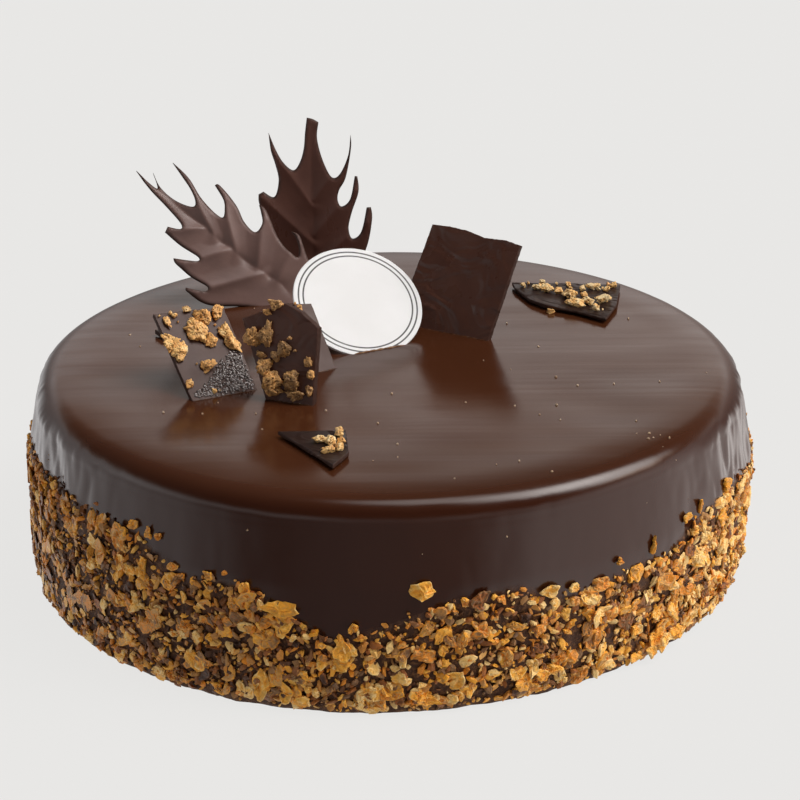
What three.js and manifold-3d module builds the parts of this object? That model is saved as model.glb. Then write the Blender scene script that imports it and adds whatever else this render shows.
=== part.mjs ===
// A round glazed mousse cake, 200 mm across its top. A smooth dark glaze covers the top and the
// upper side, a band of caramelised flakes clings to the lower side, and the top carries thin
// pieces of chocolate: two wavy leaves, four standing tiles, three shards lying down, and a plain
// white disc. Millimetres, +Z up, the origin at the middle of the underside.
// Azimuths are in degrees: 0 is +X (the right), -90 is the front, 90 is the back.

import * as THREE from 'three';
import { mergeVertices } from 'three/addons/utils/BufferGeometryUtils.js';
import { TessellateModifier } from 'three/addons/modifiers/TessellateModifier.js';
import Module from 'manifold-3d';

const wasm = await Module();
wasm.setup();

// ---- driving dimensions -------------------------------------------------------------------

const CAKE_HEIGHT = 60;
const TOP_RADIUS = 100;
const RIM_ROUNDING = 7;
const SKIRT_RADIUS = 102;       // the glazed side, just above the flakes
const SKIRT_HEIGHT = 36;
const BED_RADIUS = 101.8;       // what the flakes are pressed into
const BED_LOW = 12;
const BED_RELIEF = 0.9;         // the uneven bed stands out or in by up to this
const FOOT_RADIUS = 99.4;
const FOOT_HEIGHT = 4;
const CAKE_SEGMENTS = 72;
const SIDE_LEVELS = [0, FOOT_HEIGHT, BED_LOW, 20, 28, SKIRT_HEIGHT, 46];
const RIM_STEPS = 4;
const AXIS_RADIUS = 1;          // a vertex nearer to the middle than this stays where it is

const GAP = 0.3;                // between two pieces that touch
const FOOT_DEPTH = 5;           // how deep a standing piece is pushed in, along its face

const TILE_THICKNESS = 1.8;
const THICK_TILE_THICKNESS = 2.6;
const SHARD_THICKNESS = 1.6;
const DISC_RADIUS = 19.3;
const DISC_THICKNESS = 0.9;
const DISC_SINK = 2.0;          // along its face
const DISC_SEGMENTS = 40;
const LEAF_THICKNESS = 1.3;

// Broad uneven places of the side: where, how far each reaches, and how far it stands out.
const SIDE_SWELLS = [
  { azimuth: -148, height: 8, spread: 24, rise: 16, out: 1.6 },
  { azimuth: -105, height: 4, spread: 22, rise: 14, out: 1.2 },
  { azimuth: -55, height: 6, spread: 28, rise: 16, out: -1.9 },
  { azimuth: -172, height: 58, spread: 18, rise: 14, out: -0.8 },
  { azimuth: 158, height: 56, spread: 20, rise: 14, out: 0.6 },
  { azimuth: 20, height: 12, spread: 26, rise: 18, out: 0.6 },
  { azimuth: 110, height: 8, spread: 26, rise: 16, out: 0.9 },
  { azimuth: 0, height: 44, spread: 42, rise: 26, out: 0.8 },
  { azimuth: -7, height: 33, spread: 13, rise: 6, out: 1.1 },
  { azimuth: 180, height: 46, spread: 30, rise: 26, out: 0.5 },
];

// The uneven upper edge of the flakes: [azimuth, height].
const FLAKE_LINE = [
  [-180, 41], [-164, 43], [-131, 42.5], [-121, 34], [-112, 36], [-98, 22], [-88, 28], [-81, 32.7],
  [-71, 34.5], [-62, 28.7], [-49, 32.4], [-44, 30.5], [-37, 36.7], [-27, 38.5], [-10, 35], [5, 38],
  [40, 33], [75, 36], [110, 31], [140, 37], [180, 41],
];
const FLAKE_ROW = 6.6;          // height between rows of flakes
const FLAKE_FIRST_ROW = 2;      // height of the lowest row
const FLAKE_LAST_ROW = 44;      // rows end below this
const FLAKE_STEP = 11.8;        // spacing along a row
const FLAKE_SHIFT = { along: 0.5, up: 0.7 };  // random, as a share of the spacing
const FLAKE_BELOW_LINE = 1.5;
const FLAKE_LENGTH = [6.4, 10.4];
const FLAKE_WIDTH = [3.8, 6.4];
const FLAKE_DEPTH = [2.0, 3.0];
const FLAKE_UNEVENNESS = 0.22;
const FLAKE_TURN = { tilt: 0.9, lean: 0.7 };  // random, in radians from end to end
const FLAKE_LIFT = 0.1;         // how far its middle stands out, as a share of its depth
const STRAY_FLAKES = 16;        // flakes that stuck to the glaze above the band
const STRAY_SPREAD = 0.8;       // random, as a share of the spacing
const STRAY_RISE = [2, 5];      // above the line

// A piece is placed by the point where its front face meets the top of the cake, its turn about
// the vertical (right end back) and its lean back from the vertical.
const TILE_LEFT_PLACE = { at: [-53.7, -31.0], yaw: 25.3, lean: 50 };
const TILE_MIDDLE_PLACE = { at: [-33.8, -29.7], yaw: -22, lean: 15 };
const TILE_BEHIND_PLACE = { at: [-18.8, -9.5], yaw: 30, lean: 47 };
const TILE_RIGHT_PLACE = { at: [2.2, 29.2], yaw: -30, lean: 27 };
const LEAF_LEFT_PLACE = { at: [-40.3, 44.2], yaw: 12, lean: 32 };
const LEAF_BACK_PLACE = { at: [-25, 66], yaw: 0, lean: 3 };
const DISC_PLACE = { at: [-2.6, 7.4], yaw: 25, lean: 54 };

// Outlines on the front face: across, then up from the top of the cake.
const TILE_LEFT_OUTLINE = [
  [0, -FOOT_DEPTH], [19.5, -FOOT_DEPTH], [19.5, 0], [19.1, 14.6], [18.6, 27.7], [8.6, 28.5],
  [-2.1, 29.1], [0, 0],
];
const TILE_MIDDLE_OUTLINE = [
  [0.5, -FOOT_DEPTH], [14.5, -FOOT_DEPTH], [14.5, 0], [14.1, 21.5], [8.6, 25.3], [3.7, 27.1],
  [-9, 21.3], [-3.9, 9.6], [0, 0],
];
const TILE_BEHIND_OUTLINE = [
  [-10, -FOOT_DEPTH], [5, -FOOT_DEPTH], [5.2, 0.7], [5.8, 21.4], [-1, 22.7], [-10.5, 22.2],
];
const TILE_RIGHT_OUTLINE = [
  [0, -FOOT_DEPTH], [31, -FOOT_DEPTH], [31.1, 0], [34.6, 29], [29.6, 29.8], [22.6, 29.5],
  [16.3, 30.7], [10.7, 31], [4.8, 30.7], [2.2, 14], [0, 0],
];

// Caramel crumbs stuck to the pieces: [across, up, width, length], on the same faces.
const TILE_LEFT_CRUMBS = [
  [0.6, 25.9, 1.7, 3.6], [3.4, 27.2, 1.6, 1.4], [7.6, 28.7, 2, 2], [8.6, 21.8, 4.6, 6.6],
  [12, 25.4, 4.2, 4.4], [16, 26.2, 3, 4.2], [-0.2, 18.6, 4.6, 5.2], [1.4, 15.8, 3.8, 4.2],
  [16.4, 19.4, 3.4, 4.4], [16.9, 15.6, 4, 4.6], [11.4, 17.3, 3, 4], [7.7, 9.7, 3.3, 3.5],
  [0.9, 5.6, 2.4, 2.9], [7, 1.9, 1.6, 1.6],
];
const TILE_MIDDLE_CRUMBS = [
  [0.9, 26.6, 3.4, 3.2], [-1.4, 24, 2.6, 2], [-5.4, 16.6, 4.6, 4.8], [-1, 17.5, 4, 6],
  [4.9, 14.7, 4, 3.4], [2.4, 12.1, 3, 2.8], [-2, 12, 2.2, 2], [-0.6, 9, 4.6, 4.4],
  [1.7, 5.9, 5.4, 4.6], [2.8, 2.7, 4.6, 3.4], [7.7, 6.6, 4.8, 5.4], [9.1, 2.5, 3.7, 3.2],
  [13, 3.8, 1.9, 3], [12.2, 11.8, 2.2, 3.2], [13, 8.4, 2, 2.4],
];
const TILE_BEHIND_CRUMBS = [[1.5, 20.6, 1.8, 2]];

// Pieces that lie on the cake: outlines seen from above, then their crumbs.
const SHARD_RIGHT_OUTLINE = [
  [37.9, 59.2], [38.4, 54.6], [42.5, 44.2], [46.7, 39.1], [55.8, 33.8], [64.1, 26.6],
  [68.4, 39.2], [70.8, 56.7],
];
const SHARD_RIGHT_CRUMBS = [
  [41, 55.5, 1.6, 1.8], [44.6, 53.2, 2.2, 2.6], [47, 57.4, 1.8, 2], [48.6, 51.4, 3.2, 3],
  [51.6, 49.8, 2.4, 3], [54.8, 55.4, 1.6, 2], [54.6, 46.6, 4, 5], [58.8, 51.4, 2, 2.2],
  [61.8, 52.8, 4.6, 2.6], [66.2, 50.6, 2, 2.2], [68.2, 54.2, 1.8, 2], [59, 46, 1.8, 2],
  [56, 39, 4.8, 3.6], [59.6, 40.4, 3.4, 3], [64.4, 41.2, 3.8, 3.8], [61.6, 34.2, 2, 2],
];
const SHARD_FRONT_OUTLINE = [
  [-29.2, -56.7], [-22, -67.5], [-14.1, -79.9], [-10, -71.2], [-11, -55.6],
];
const SHARD_FRONT_CRUMBS = [
  [-12.8, -58.6, 2.4, 3.4], [-18, -64.4, 3.4, 3.6], [-14.8, -65.8, 3.2, 3.4],
  [-12.6, -69.4, 2.6, 3.4], [-15.4, -70.8, 2.8, 2.6], [-11.9, -64.8, 1.9, 3],
];
const SHARD_LEFT_OUTLINE = [[-68, 20.6], [-66.4, 17.6], [-58.5, 13.5], [-57.2, 18.4], [-62, 21.6]];
const SMALL_CRUMB = 7;          // mm2, below which a crumb has few faces
const FEW_FACES = 8;
const MANY_FACES = 20;
const CRUMB_UNEVENNESS = 0.16;
const CRUMB_HEIGHT = { share: 0.42, more: 0.5 };  // a share of its width, and some more
const CRUMB_TURN = 0.5;         // random, in radians from end to end
const CRUMB_LIFT = 0.28;        // how high its middle lies, as a share of its height
const FALLEN_CRUMB = { at: [48.4, 36.6], size: [2.6, 1.9, 1.8], lift: 0.3 };

// The leaves' outlines: each inner list runs from one sharp point to the next along a curve.
const LEAF_LEFT_EDGES = [
  [[20, -FOOT_DEPTH], [20.6, 2], [20, 8.1], [17.9, 14.3], [16.3, 20.6], [14.2, 22]],
  [[14.2, 22], [15.3, 20.1], [15.8, 16.3], [14.9, 14.1], [12.1, 16.6], [9.6, 21.1], [7.1, 29.1],
    [5.2, 31]],
  [[5.2, 31], [5.5, 28.9], [5.4, 25.2], [3, 22.7], [0.1, 26.2], [-1.8, 31.4], [-6, 37.8],
    [-7.5, 38.2]],
  [[-7.5, 38.2], [-5.7, 34.1], [-5.4, 31], [-6.7, 28], [-11.9, 34], [-15.4, 41.1], [-19.5, 46]],
  [[-19.5, 46], [-16.1, 39.6], [-14.1, 34.2], [-15, 32], [-20, 34.6], [-24, 38.9], [-25.7, 43.4]],
  [[-25.7, 43.4], [-25, 38.6], [-30.7, 44.4]],
  [[-30.7, 44.4], [-26.9, 38.2], [-22.9, 33], [-19.1, 27.4], [-19.5, 25.3], [-23.2, 26.4]],
  [[-23.2, 26.4], [-24.1, 24.8]],
  [[-24.1, 24.8], [-20, 20.7], [-15.1, 16.6], [-15.8, 15.1], [-22.4, 16.7]],
  [[-22.4, 16.7], [-21.8, 14.9], [-18, 10.9], [-13.3, 7.2], [-14.4, 5.7], [-19.7, 7.4]],
  [[-19.7, 7.4], [-19.5, 6.3], [-15.9, 3.1], [-11.7, 1.4], [-4, 0.6], [2, -1], [5, -FOOT_DEPTH]],
];
const LEAF_LEFT_RIB = [[15, -3], [9.6, 6], [0.9, 12.8], [-8.9, 22], [-14.9, 28.2], [-28, 41.6]];
const LEAF_LEFT_FLUTES = [
  [[8, 7.5], [14.6, 18]], [[2.5, 11.5], [5.4, 26]], [[-3.5, 17], [-5.8, 33]],
  [[-9.5, 22.5], [-15.6, 38]], [[-12, 25], [-22.6, 25.2]], [[-5, 18], [-19.6, 14.6]],
  [[4, 10], [-17, 5.6]],
];
const LEAF_BACK_EDGES = [
  [[8, -FOOT_DEPTH], [13, 1], [18.4, 10.2], [20.4, 19.5], [20.1, 23.5]],
  [[20.1, 23.5], [18.8, 23.4]],
  [[18.8, 23.4], [17, 15.7], [14.3, 13.6], [13.2, 17], [14.3, 22.1], [16.4, 28.5], [16.1, 33.2]],
  [[16.1, 33.2], [15.3, 33.3]],
  [[15.3, 33.3], [13.8, 26.1], [11.2, 23.8], [10, 25.9], [10.5, 29], [12.6, 33.1], [14.3, 42.1],
    [14.2, 46.4]],
  [[14.2, 46.4], [13.4, 39.9], [10.8, 34], [8.3, 33.1], [5.7, 38.2], [4.1, 45], [4.6, 50.1]],
  [[4.6, 50.1], [2.9, 51.1], [1.1, 51.6]],
  [[1.1, 51.6], [0.5, 47.1], [0, 42.1], [-1.2, 37.9], [-3.2, 35.3], [-6.1, 37.6], [-8.4, 41.7],
    [-10.5, 47.1]],
  [[-10.5, 47.1], [-9.9, 41.7], [-8.7, 37.4], [-7.8, 32.3], [-9.2, 27], [-12.5, 28.7]],
  [[-12.5, 28.7], [-14, 27.9]],
  [[-14, 27.9], [-13.8, 24.9], [-11.4, 19.1], [-7.9, 10.2], [-4.4, 0.6], [-4, -FOOT_DEPTH]],
];
const LEAF_BACK_RIB = [[2, -2], [2.6, 18], [2.4, 40], [2.8, 50]];
const LEAF_BACK_FLUTES = [
  [[2.4, 24], [-9.6, 42]], [[2.6, 12], [-12.8, 27]], [[2.6, 26], [13, 40]],
  [[2.8, 15], [14.6, 29]], [[2.6, 5], [18.4, 19]],
];
const LEAF_LEFT_FOOT = [[-18, -FOOT_DEPTH], [20.8, -FOOT_DEPTH], [21.2, 4], [-18, 4]];
const LEAF_BACK_FOOT = [[-6, -FOOT_DEPTH], [10, -FOOT_DEPTH], [18, 4], [-6.5, 4]];
const LEAF_WAVE = {
  ridge: 1.1, ridgeWidth: 2.3, groove: 0.9, grooveWidth: 1.5, bowAcross: 0.0016, bowUp: 0.0004,
  root: 8,                      // the wave grows from nothing up to this height
};
const LEAF_CURVE_STEPS = 2;     // outline pieces between two named points
const LEAF_FACE_EDGE = 7;       // no edge of a leaf's face is longer
const LEAF_FACE_SPLITS = 8;

const SEED = {
  flakes: 41, bed: 3, fallenCrumb: 5, tileLeft: 11, tileMiddle: 12, tileBehind: 13, tileRight: 14,
  shardRight: 21, shardFront: 22, shardLeft: 23,
};
const WELD_DISTANCE = 1e-4;

// ---- finishes -----------------------------------------------------------------------------

const glazeFinish = { color: 0x46281d, roughness: 0.18, metalness: 0 };
const chocolateFinish = { color: 0x35211b, roughness: 0.35, metalness: 0 };
const crumbedFinish = { color: 0x4a2f20, roughness: 0.4, metalness: 0 };
const discFinish = { color: 0xf4f4f2, roughness: 0.45, metalness: 0 };

// ---- helpers ------------------------------------------------------------------------------

const radians = THREE.MathUtils.degToRad;

/** Random numbers from 0 to 1 that are the same on every run. */
function seededRandom(seed) {
  let state = seed;
  return () => {
    state = (state + 0x6d2b79f5) | 0;
    let mixed = Math.imul(state ^ (state >>> 15), 1 | state);
    mixed = (mixed + Math.imul(mixed ^ (mixed >>> 7), 61 | mixed)) ^ mixed;
    return ((mixed ^ (mixed >>> 14)) >>> 0) / 2 ** 32;
  };
}

function between(random, [low, high]) {
  return low + (high - low) * random();
}

/** Merges the shared vertices of a geometry and drops the triangles that have no area. */
function welded(geometry) {
  geometry.deleteAttribute('normal');
  geometry.deleteAttribute('uv');
  const merged = mergeVertices(geometry, WELD_DISTANCE);
  const old = merged.index.array;
  const kept = [];
  for (let i = 0; i < old.length; i += 3) {
    const [a, b, c] = [old[i], old[i + 1], old[i + 2]];
    if (a !== b && b !== c && c !== a) kept.push(a, b, c);
  }
  merged.setIndex(kept);
  return merged;
}

function toSolid(geometry) {
  const merged = geometry.attributes.normal ? welded(geometry) : geometry;
  const vertProperties = new Float32Array(merged.attributes.position.array);
  const triVerts = new Uint32Array(merged.index.array);
  return new wasm.Manifold(new wasm.Mesh({ numProp: 3, vertProperties, triVerts }));
}

/** The largest body alone: loose scraps are dropped, and sealed hollows are filled. */
function mainBody(solid) {
  const bodies = solid.decompose();
  return bodies.reduce((best, body) => (body.volume() > best.volume() ? body : best));
}

function toGeometry(solid) {
  const mesh = mainBody(solid).getMesh();
  const geometry = new THREE.BufferGeometry();
  geometry.setAttribute('position', new THREE.BufferAttribute(mesh.vertProperties, 3));
  geometry.setIndex(new THREE.BufferAttribute(mesh.triVerts, 1));
  geometry.computeVertexNormals();
  return geometry;
}

function meshOf(name, geometry, finish) {
  const mesh = new THREE.Mesh(geometry, new THREE.MeshStandardMaterial(finish));
  mesh.name = name;
  return mesh;
}

/** Where a standing piece goes: X across its face, Y up its face, Z out of its front. */
function placeMatrix({ at, yaw, lean }) {
  const turn = new THREE.Euler(Math.PI / 2 - radians(lean), 0, radians(yaw), 'ZXY');
  const matrix = new THREE.Matrix4().makeRotationFromEuler(turn);
  return matrix.setPosition(at[0], at[1], CAKE_HEIGHT);
}

/** Moves each side of a counter-clockwise outline outwards by the given distance. */
function grown(outline, distance) {
  const sideNormal = (from, to) => new THREE.Vector2(to[1] - from[1], from[0] - to[0]).normalize();
  return outline.map((point, i) => {
    const before = sideNormal(outline.at(i - 1), point);
    const after = sideNormal(point, outline[(i + 1) % outline.length]);
    const corner = before.clone().add(after).divideScalar(1 + before.dot(after));
    return [point[0] + corner.x * distance, point[1] + corner.y * distance];
  });
}

/** A plate with the given outline, from height low to height high. */
function plate(outline, low, high) {
  const shape = new THREE.Shape(outline.map(([x, y]) => new THREE.Vector2(x, y)));
  const geometry = new THREE.ExtrudeGeometry(shape, { depth: high - low, bevelEnabled: false });
  return geometry.translate(0, 0, low);
}

// ---- flakes and crumbs --------------------------------------------------------------------

/** An uneven chip with few or many faces, about one unit in radius. */
function chip(random, unevenness, faces) {
  const many = faces > FEW_FACES;
  const form = many ? new THREE.IcosahedronGeometry(1, 0) : new THREE.OctahedronGeometry(1, 0);
  const geometry = welded(form);
  const position = geometry.attributes.position;
  for (let i = 0; i < position.count; i += 1) {
    const stretch = 1 + unevenness * (random() * 2 - 1);
    position.setXYZ(i, position.getX(i) * stretch, position.getY(i) * stretch,
      position.getZ(i) * stretch);
  }
  return geometry;
}

function flakeLine(azimuth) {
  const next = FLAKE_LINE.findIndex(([angle]) => angle >= azimuth);
  const [angleB, heightB] = FLAKE_LINE[Math.max(next, 1)];
  const [angleA, heightA] = FLAKE_LINE[Math.max(next, 1) - 1];
  return heightA + (heightB - heightA) * (azimuth - angleA) / (angleB - angleA);
}

function sideSwell(azimuth, height) {
  return SIDE_SWELLS.reduce((sum, swell) => {
    const turned = ((azimuth - swell.azimuth + 540) % 360) - 180;
    const along = turned / swell.spread;
    const up = (height - swell.height) / swell.rise;
    return sum + swell.out * Math.exp(-along * along - up * up);
  }, 0);
}

/** The radius of the side below the rim, without the flakes. */
function sideRadius(height) {
  const stations = [
    [0, FOOT_RADIUS], [FOOT_HEIGHT, (FOOT_RADIUS + BED_RADIUS) / 2], [BED_LOW, BED_RADIUS],
    [SKIRT_HEIGHT, SKIRT_RADIUS], [CAKE_HEIGHT - RIM_ROUNDING, TOP_RADIUS],
  ];
  const next = Math.max(1, stations.findIndex(([level]) => level >= height));
  const [[levelA, radiusA], [levelB, radiusB]] = [stations[next - 1], stations[next]];
  return radiusA + (radiusB - radiusA) * (height - levelA) / (levelB - levelA);
}

/** One flake pressed flat on the side at an azimuth and a height. */
function flakeSolid(random, azimuth, height) {
  const depth = between(random, FLAKE_DEPTH);
  const geometry = chip(random, FLAKE_UNEVENNESS, FEW_FACES);
  geometry.scale(between(random, FLAKE_LENGTH) / 2, depth / 2, between(random, FLAKE_WIDTH) / 2);
  geometry.rotateY(random() * Math.PI);
  geometry.rotateX((random() - 0.5) * FLAKE_TURN.tilt);
  geometry.rotateZ((random() - 0.5) * FLAKE_TURN.lean);
  const out = sideRadius(height) + sideSwell(azimuth, height) + depth * FLAKE_LIFT;
  geometry.translate(0, -out, height);
  geometry.rotateZ(radians(azimuth + 90));
  return toSolid(geometry);
}

function flakes() {
  const random = seededRandom(SEED.flakes);
  const solids = [];
  for (let row = 0; row * FLAKE_ROW < FLAKE_LAST_ROW; row += 1) {
    const count = Math.round(2 * Math.PI * BED_RADIUS / FLAKE_STEP);
    const offset = row % 2 / 2;
    for (let i = 0; i < count; i += 1) {
      const along = i + offset + (random() - 0.5) * FLAKE_SHIFT.along;
      const azimuth = (along * 360 / count) % 360 - 180;
      const height = FLAKE_FIRST_ROW + (row + (random() - 0.5) * FLAKE_SHIFT.up) * FLAKE_ROW;
      if (height < flakeLine(azimuth) - FLAKE_BELOW_LINE) {
        solids.push(flakeSolid(random, azimuth, height));
      }
    }
  }
  for (let i = 0; i < STRAY_FLAKES; i += 1) {
    const azimuth = (i + random() * STRAY_SPREAD) * 360 / STRAY_FLAKES - 180;
    const height = flakeLine(azimuth) + between(random, STRAY_RISE);
    solids.push(flakeSolid(random, azimuth, height));
  }
  return solids;
}

/** Crumbs pressed on the face Z = 0 of a piece. */
function withCrumbs(solid, crumbs, random) {
  return crumbs.reduce((joined, [x, y, width, length]) => {
    const faces = width * length > SMALL_CRUMB ? MANY_FACES : FEW_FACES;
    const geometry = chip(random, CRUMB_UNEVENNESS, faces);
    const height = Math.min(width, length) * CRUMB_HEIGHT.share + CRUMB_HEIGHT.more;
    geometry.scale(width / 2, length / 2, height / 2);
    geometry.rotateZ((random() - 0.5) * CRUMB_TURN);
    geometry.translate(x, y, height * CRUMB_LIFT);
    return joined.add(toSolid(geometry));
  }, solid);
}

// ---- cake ---------------------------------------------------------------------------------

function cakeBody() {
  const profile = [new THREE.Vector2(0, 0)];
  for (const height of SIDE_LEVELS) {
    profile.push(new THREE.Vector2(sideRadius(height), height));
  }
  for (let step = 0; step <= RIM_STEPS; step += 1) {
    const angle = Math.PI / 2 * step / RIM_STEPS;
    profile.push(new THREE.Vector2(
      TOP_RADIUS - RIM_ROUNDING + RIM_ROUNDING * Math.cos(angle),
      CAKE_HEIGHT - RIM_ROUNDING + RIM_ROUNDING * Math.sin(angle)));
  }
  profile.push(new THREE.Vector2(0, CAKE_HEIGHT));
  const geometry = new THREE.LatheGeometry(profile, CAKE_SEGMENTS);
  geometry.rotateX(Math.PI / 2);
  const body = welded(geometry);
  const position = body.attributes.position;
  const random = seededRandom(SEED.bed);
  for (let i = 0; i < position.count; i += 1) {
    const [x, y, z] = [position.getX(i), position.getY(i), position.getZ(i)];
    const radius = Math.hypot(x, y);
    if (radius < AXIS_RADIUS) continue;
    const azimuth = THREE.MathUtils.radToDeg(Math.atan2(y, x));
    const relief = z < flakeLine(azimuth) ? BED_RELIEF * (random() * 2 - 1) : 0;
    const stretch = 1 + (sideSwell(azimuth, z) + relief) / radius;
    position.setXYZ(i, x * stretch, y * stretch, z);
  }
  return toSolid(body);
}

function fallenCrumb() {
  const [width, length, height] = FALLEN_CRUMB.size;
  const geometry = chip(seededRandom(SEED.fallenCrumb), CRUMB_UNEVENNESS, MANY_FACES);
  geometry.scale(width / 2, length / 2, height / 2);
  geometry.translate(...FALLEN_CRUMB.at, CAKE_HEIGHT + height * FALLEN_CRUMB.lift);
  return toSolid(geometry);
}

function cake(sockets) {
  const wide = 3 * TOP_RADIUS;
  const floor = new THREE.BoxGeometry(wide, wide, CAKE_HEIGHT).translate(0, 0, -CAKE_HEIGHT / 2);
  let solid = wasm.Manifold.union([cakeBody(), fallenCrumb(), ...flakes()]);
  solid = solid.subtract(toSolid(floor));
  for (const socket of sockets) solid = solid.subtract(socket);
  return meshOf('cake', toGeometry(solid), glazeFinish);
}

// ---- chocolate pieces ---------------------------------------------------------------------

function tile(name, place, outline, thickness, crumbs, seed) {
  const solid = withCrumbs(toSolid(plate(outline, -thickness, 0)), crumbs, seededRandom(seed));
  const mesh = meshOf(name, toGeometry(solid), crumbs.length ? crumbedFinish : chocolateFinish);
  mesh.applyMatrix4(placeMatrix(place));
  const hole = plate(grown(outline, GAP), -thickness - GAP, GAP);
  const socket = hole.applyMatrix4(placeMatrix(place));
  return { mesh, socket: toSolid(socket) };
}

function shard(name, outline, crumbs, seed) {
  const geometry = plate(outline, -SHARD_THICKNESS, 0);
  const solid = withCrumbs(toSolid(geometry), crumbs, seededRandom(seed));
  const mesh = meshOf(name, toGeometry(solid), crumbs.length ? crumbedFinish : chocolateFinish);
  mesh.position.z = CAKE_HEIGHT + GAP + SHARD_THICKNESS;
  return mesh;
}

function disc() {
  const round = (radius, low, high) => {
    const rim = Array.from({ length: DISC_SEGMENTS }, (_, i) => {
      const angle = 2 * Math.PI * i / DISC_SEGMENTS;
      return [radius * Math.cos(angle), DISC_RADIUS - DISC_SINK + radius * Math.sin(angle)];
    });
    return plate(rim, low, high);
  };
  const mesh = meshOf('disc', welded(round(DISC_RADIUS, -DISC_THICKNESS, 0)), discFinish);
  mesh.applyMatrix4(placeMatrix(DISC_PLACE));
  const socket = round(DISC_RADIUS + GAP, -DISC_THICKNESS - GAP, GAP);
  return { mesh, socket: toSolid(socket.applyMatrix4(placeMatrix(DISC_PLACE))) };
}

/** How far a point lies from a chain of straight stretches. */
function distanceToPath(x, y, path) {
  const point = new THREE.Vector3(x, y, 0);
  const nearest = new THREE.Vector3();
  let best = Infinity;
  for (let i = 1; i < path.length; i += 1) {
    const line = new THREE.Line3(
      new THREE.Vector3(...path[i - 1], 0), new THREE.Vector3(...path[i], 0));
    line.closestPointToPoint(point, true, nearest);
    best = Math.min(best, nearest.distanceTo(point));
  }
  return best;
}

/** How far the leaf's middle surface stands out: a ridge to each point, a groove on the rib. */
function leafWave(x, y, rib, flutes) {
  const bump = (distance, width) => Math.exp(-distance * distance / (2 * width * width));
  const ridge = flutes.reduce(
    (most, flute) => Math.max(most, bump(distanceToPath(x, y, flute), LEAF_WAVE.ridgeWidth)), 0);
  const ribDistance = distanceToPath(x, y, rib);
  const groove = LEAF_WAVE.groove * bump(ribDistance, LEAF_WAVE.grooveWidth);
  const rooted = THREE.MathUtils.smoothstep(y, 0, LEAF_WAVE.root);
  const bow = LEAF_WAVE.bowAcross * ribDistance * ribDistance + LEAF_WAVE.bowUp * y * y;
  return rooted * (LEAF_WAVE.ridge * ridge - groove + bow) - LEAF_THICKNESS / 2;
}

function leafOutline(edges) {
  return edges.flatMap((edge) => {
    const points = edge.map(([x, y]) => new THREE.Vector2(x, y));
    const spans = edge.length - 1;
    const steps = spans > 1 ? spans * LEAF_CURVE_STEPS : 1;
    return new THREE.SplineCurve(points).getPoints(steps).slice(0, -1);
  });
}

/** A thin wavy solid: one split face, copied to the front and the back and walled between. */
function leaf(name, place, edges, rib, flutes, footSpan) {
  const flat = new THREE.ShapeGeometry(new THREE.Shape(leafOutline(edges)));
  const face = welded(new TessellateModifier(LEAF_FACE_EDGE, LEAF_FACE_SPLITS).modify(flat));
  const { position } = face.attributes;
  const count = position.count;
  const points = [];
  for (const side of [0.5, -0.5]) {
    for (let i = 0; i < count; i += 1) {
      const [x, y] = [position.getX(i), position.getY(i)];
      points.push(x, y, leafWave(x, y, rib, flutes) + side * LEAF_THICKNESS);
    }
  }
  const triangles = [];
  const open = new Map();
  const index = face.index.array;
  for (let i = 0; i < index.length; i += 3) {
    const corner = [index[i], index[i + 1], index[i + 2]];
    triangles.push(...corner, corner[0] + count, corner[2] + count, corner[1] + count);
    corner.forEach((from, k) => {
      const to = corner[(k + 1) % 3];
      if (!open.delete(`${to} ${from}`)) open.set(`${from} ${to}`, [from, to]);
    });
  }
  for (const [from, to] of open.values()) {
    triangles.push(to, from, from + count, to, from + count, to + count);
  }
  const geometry = new THREE.BufferGeometry();
  geometry.setAttribute('position', new THREE.Float32BufferAttribute(points, 3));
  geometry.setIndex(triangles);
  const mesh = meshOf(name, geometry, chocolateFinish);
  mesh.applyMatrix4(placeMatrix(place));
  const foot = plate(grown(footSpan, GAP), -LEAF_THICKNESS - GAP, GAP);
  return { mesh, socket: toSolid(foot.applyMatrix4(placeMatrix(place))) };
}

// ---- the whole ----------------------------------------------------------------------------

const standing = [
  tile('tile_left', TILE_LEFT_PLACE, TILE_LEFT_OUTLINE, TILE_THICKNESS, TILE_LEFT_CRUMBS,
    SEED.tileLeft),
  tile('tile_middle', TILE_MIDDLE_PLACE, TILE_MIDDLE_OUTLINE, THICK_TILE_THICKNESS,
    TILE_MIDDLE_CRUMBS, SEED.tileMiddle),
  tile('tile_behind', TILE_BEHIND_PLACE, TILE_BEHIND_OUTLINE, TILE_THICKNESS,
    TILE_BEHIND_CRUMBS, SEED.tileBehind),
  tile('tile_right', TILE_RIGHT_PLACE, TILE_RIGHT_OUTLINE, TILE_THICKNESS, [], SEED.tileRight),
  leaf('leaf_left', LEAF_LEFT_PLACE, LEAF_LEFT_EDGES, LEAF_LEFT_RIB, LEAF_LEFT_FLUTES,
    LEAF_LEFT_FOOT),
  leaf('leaf_back', LEAF_BACK_PLACE, LEAF_BACK_EDGES, LEAF_BACK_RIB, LEAF_BACK_FLUTES,
    LEAF_BACK_FOOT),
  disc(),
];

const group = new THREE.Group();
group.add(cake(standing.map(({ socket }) => socket)));
for (const { mesh } of standing) group.add(mesh);
group.add(
  shard('shard_right', SHARD_RIGHT_OUTLINE, SHARD_RIGHT_CRUMBS, SEED.shardRight),
  shard('shard_front', SHARD_FRONT_OUTLINE, SHARD_FRONT_CRUMBS, SEED.shardFront),
  shard('shard_left', SHARD_LEFT_OUTLINE, [], SEED.shardLeft),
);

export default group;
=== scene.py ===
"""The looks of a round glazed mousse cake with caramelised flakes and chocolate pieces.

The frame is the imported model: metres, +Z up, the origin at the middle of the cake's underside, and
-Y towards the side that the picture shows. Sizes in this file are millimetres unless a name says
otherwise, and azimuths are degrees: 0 is the right, -90 the front, 90 the back.
"""
from __future__ import annotations

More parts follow.
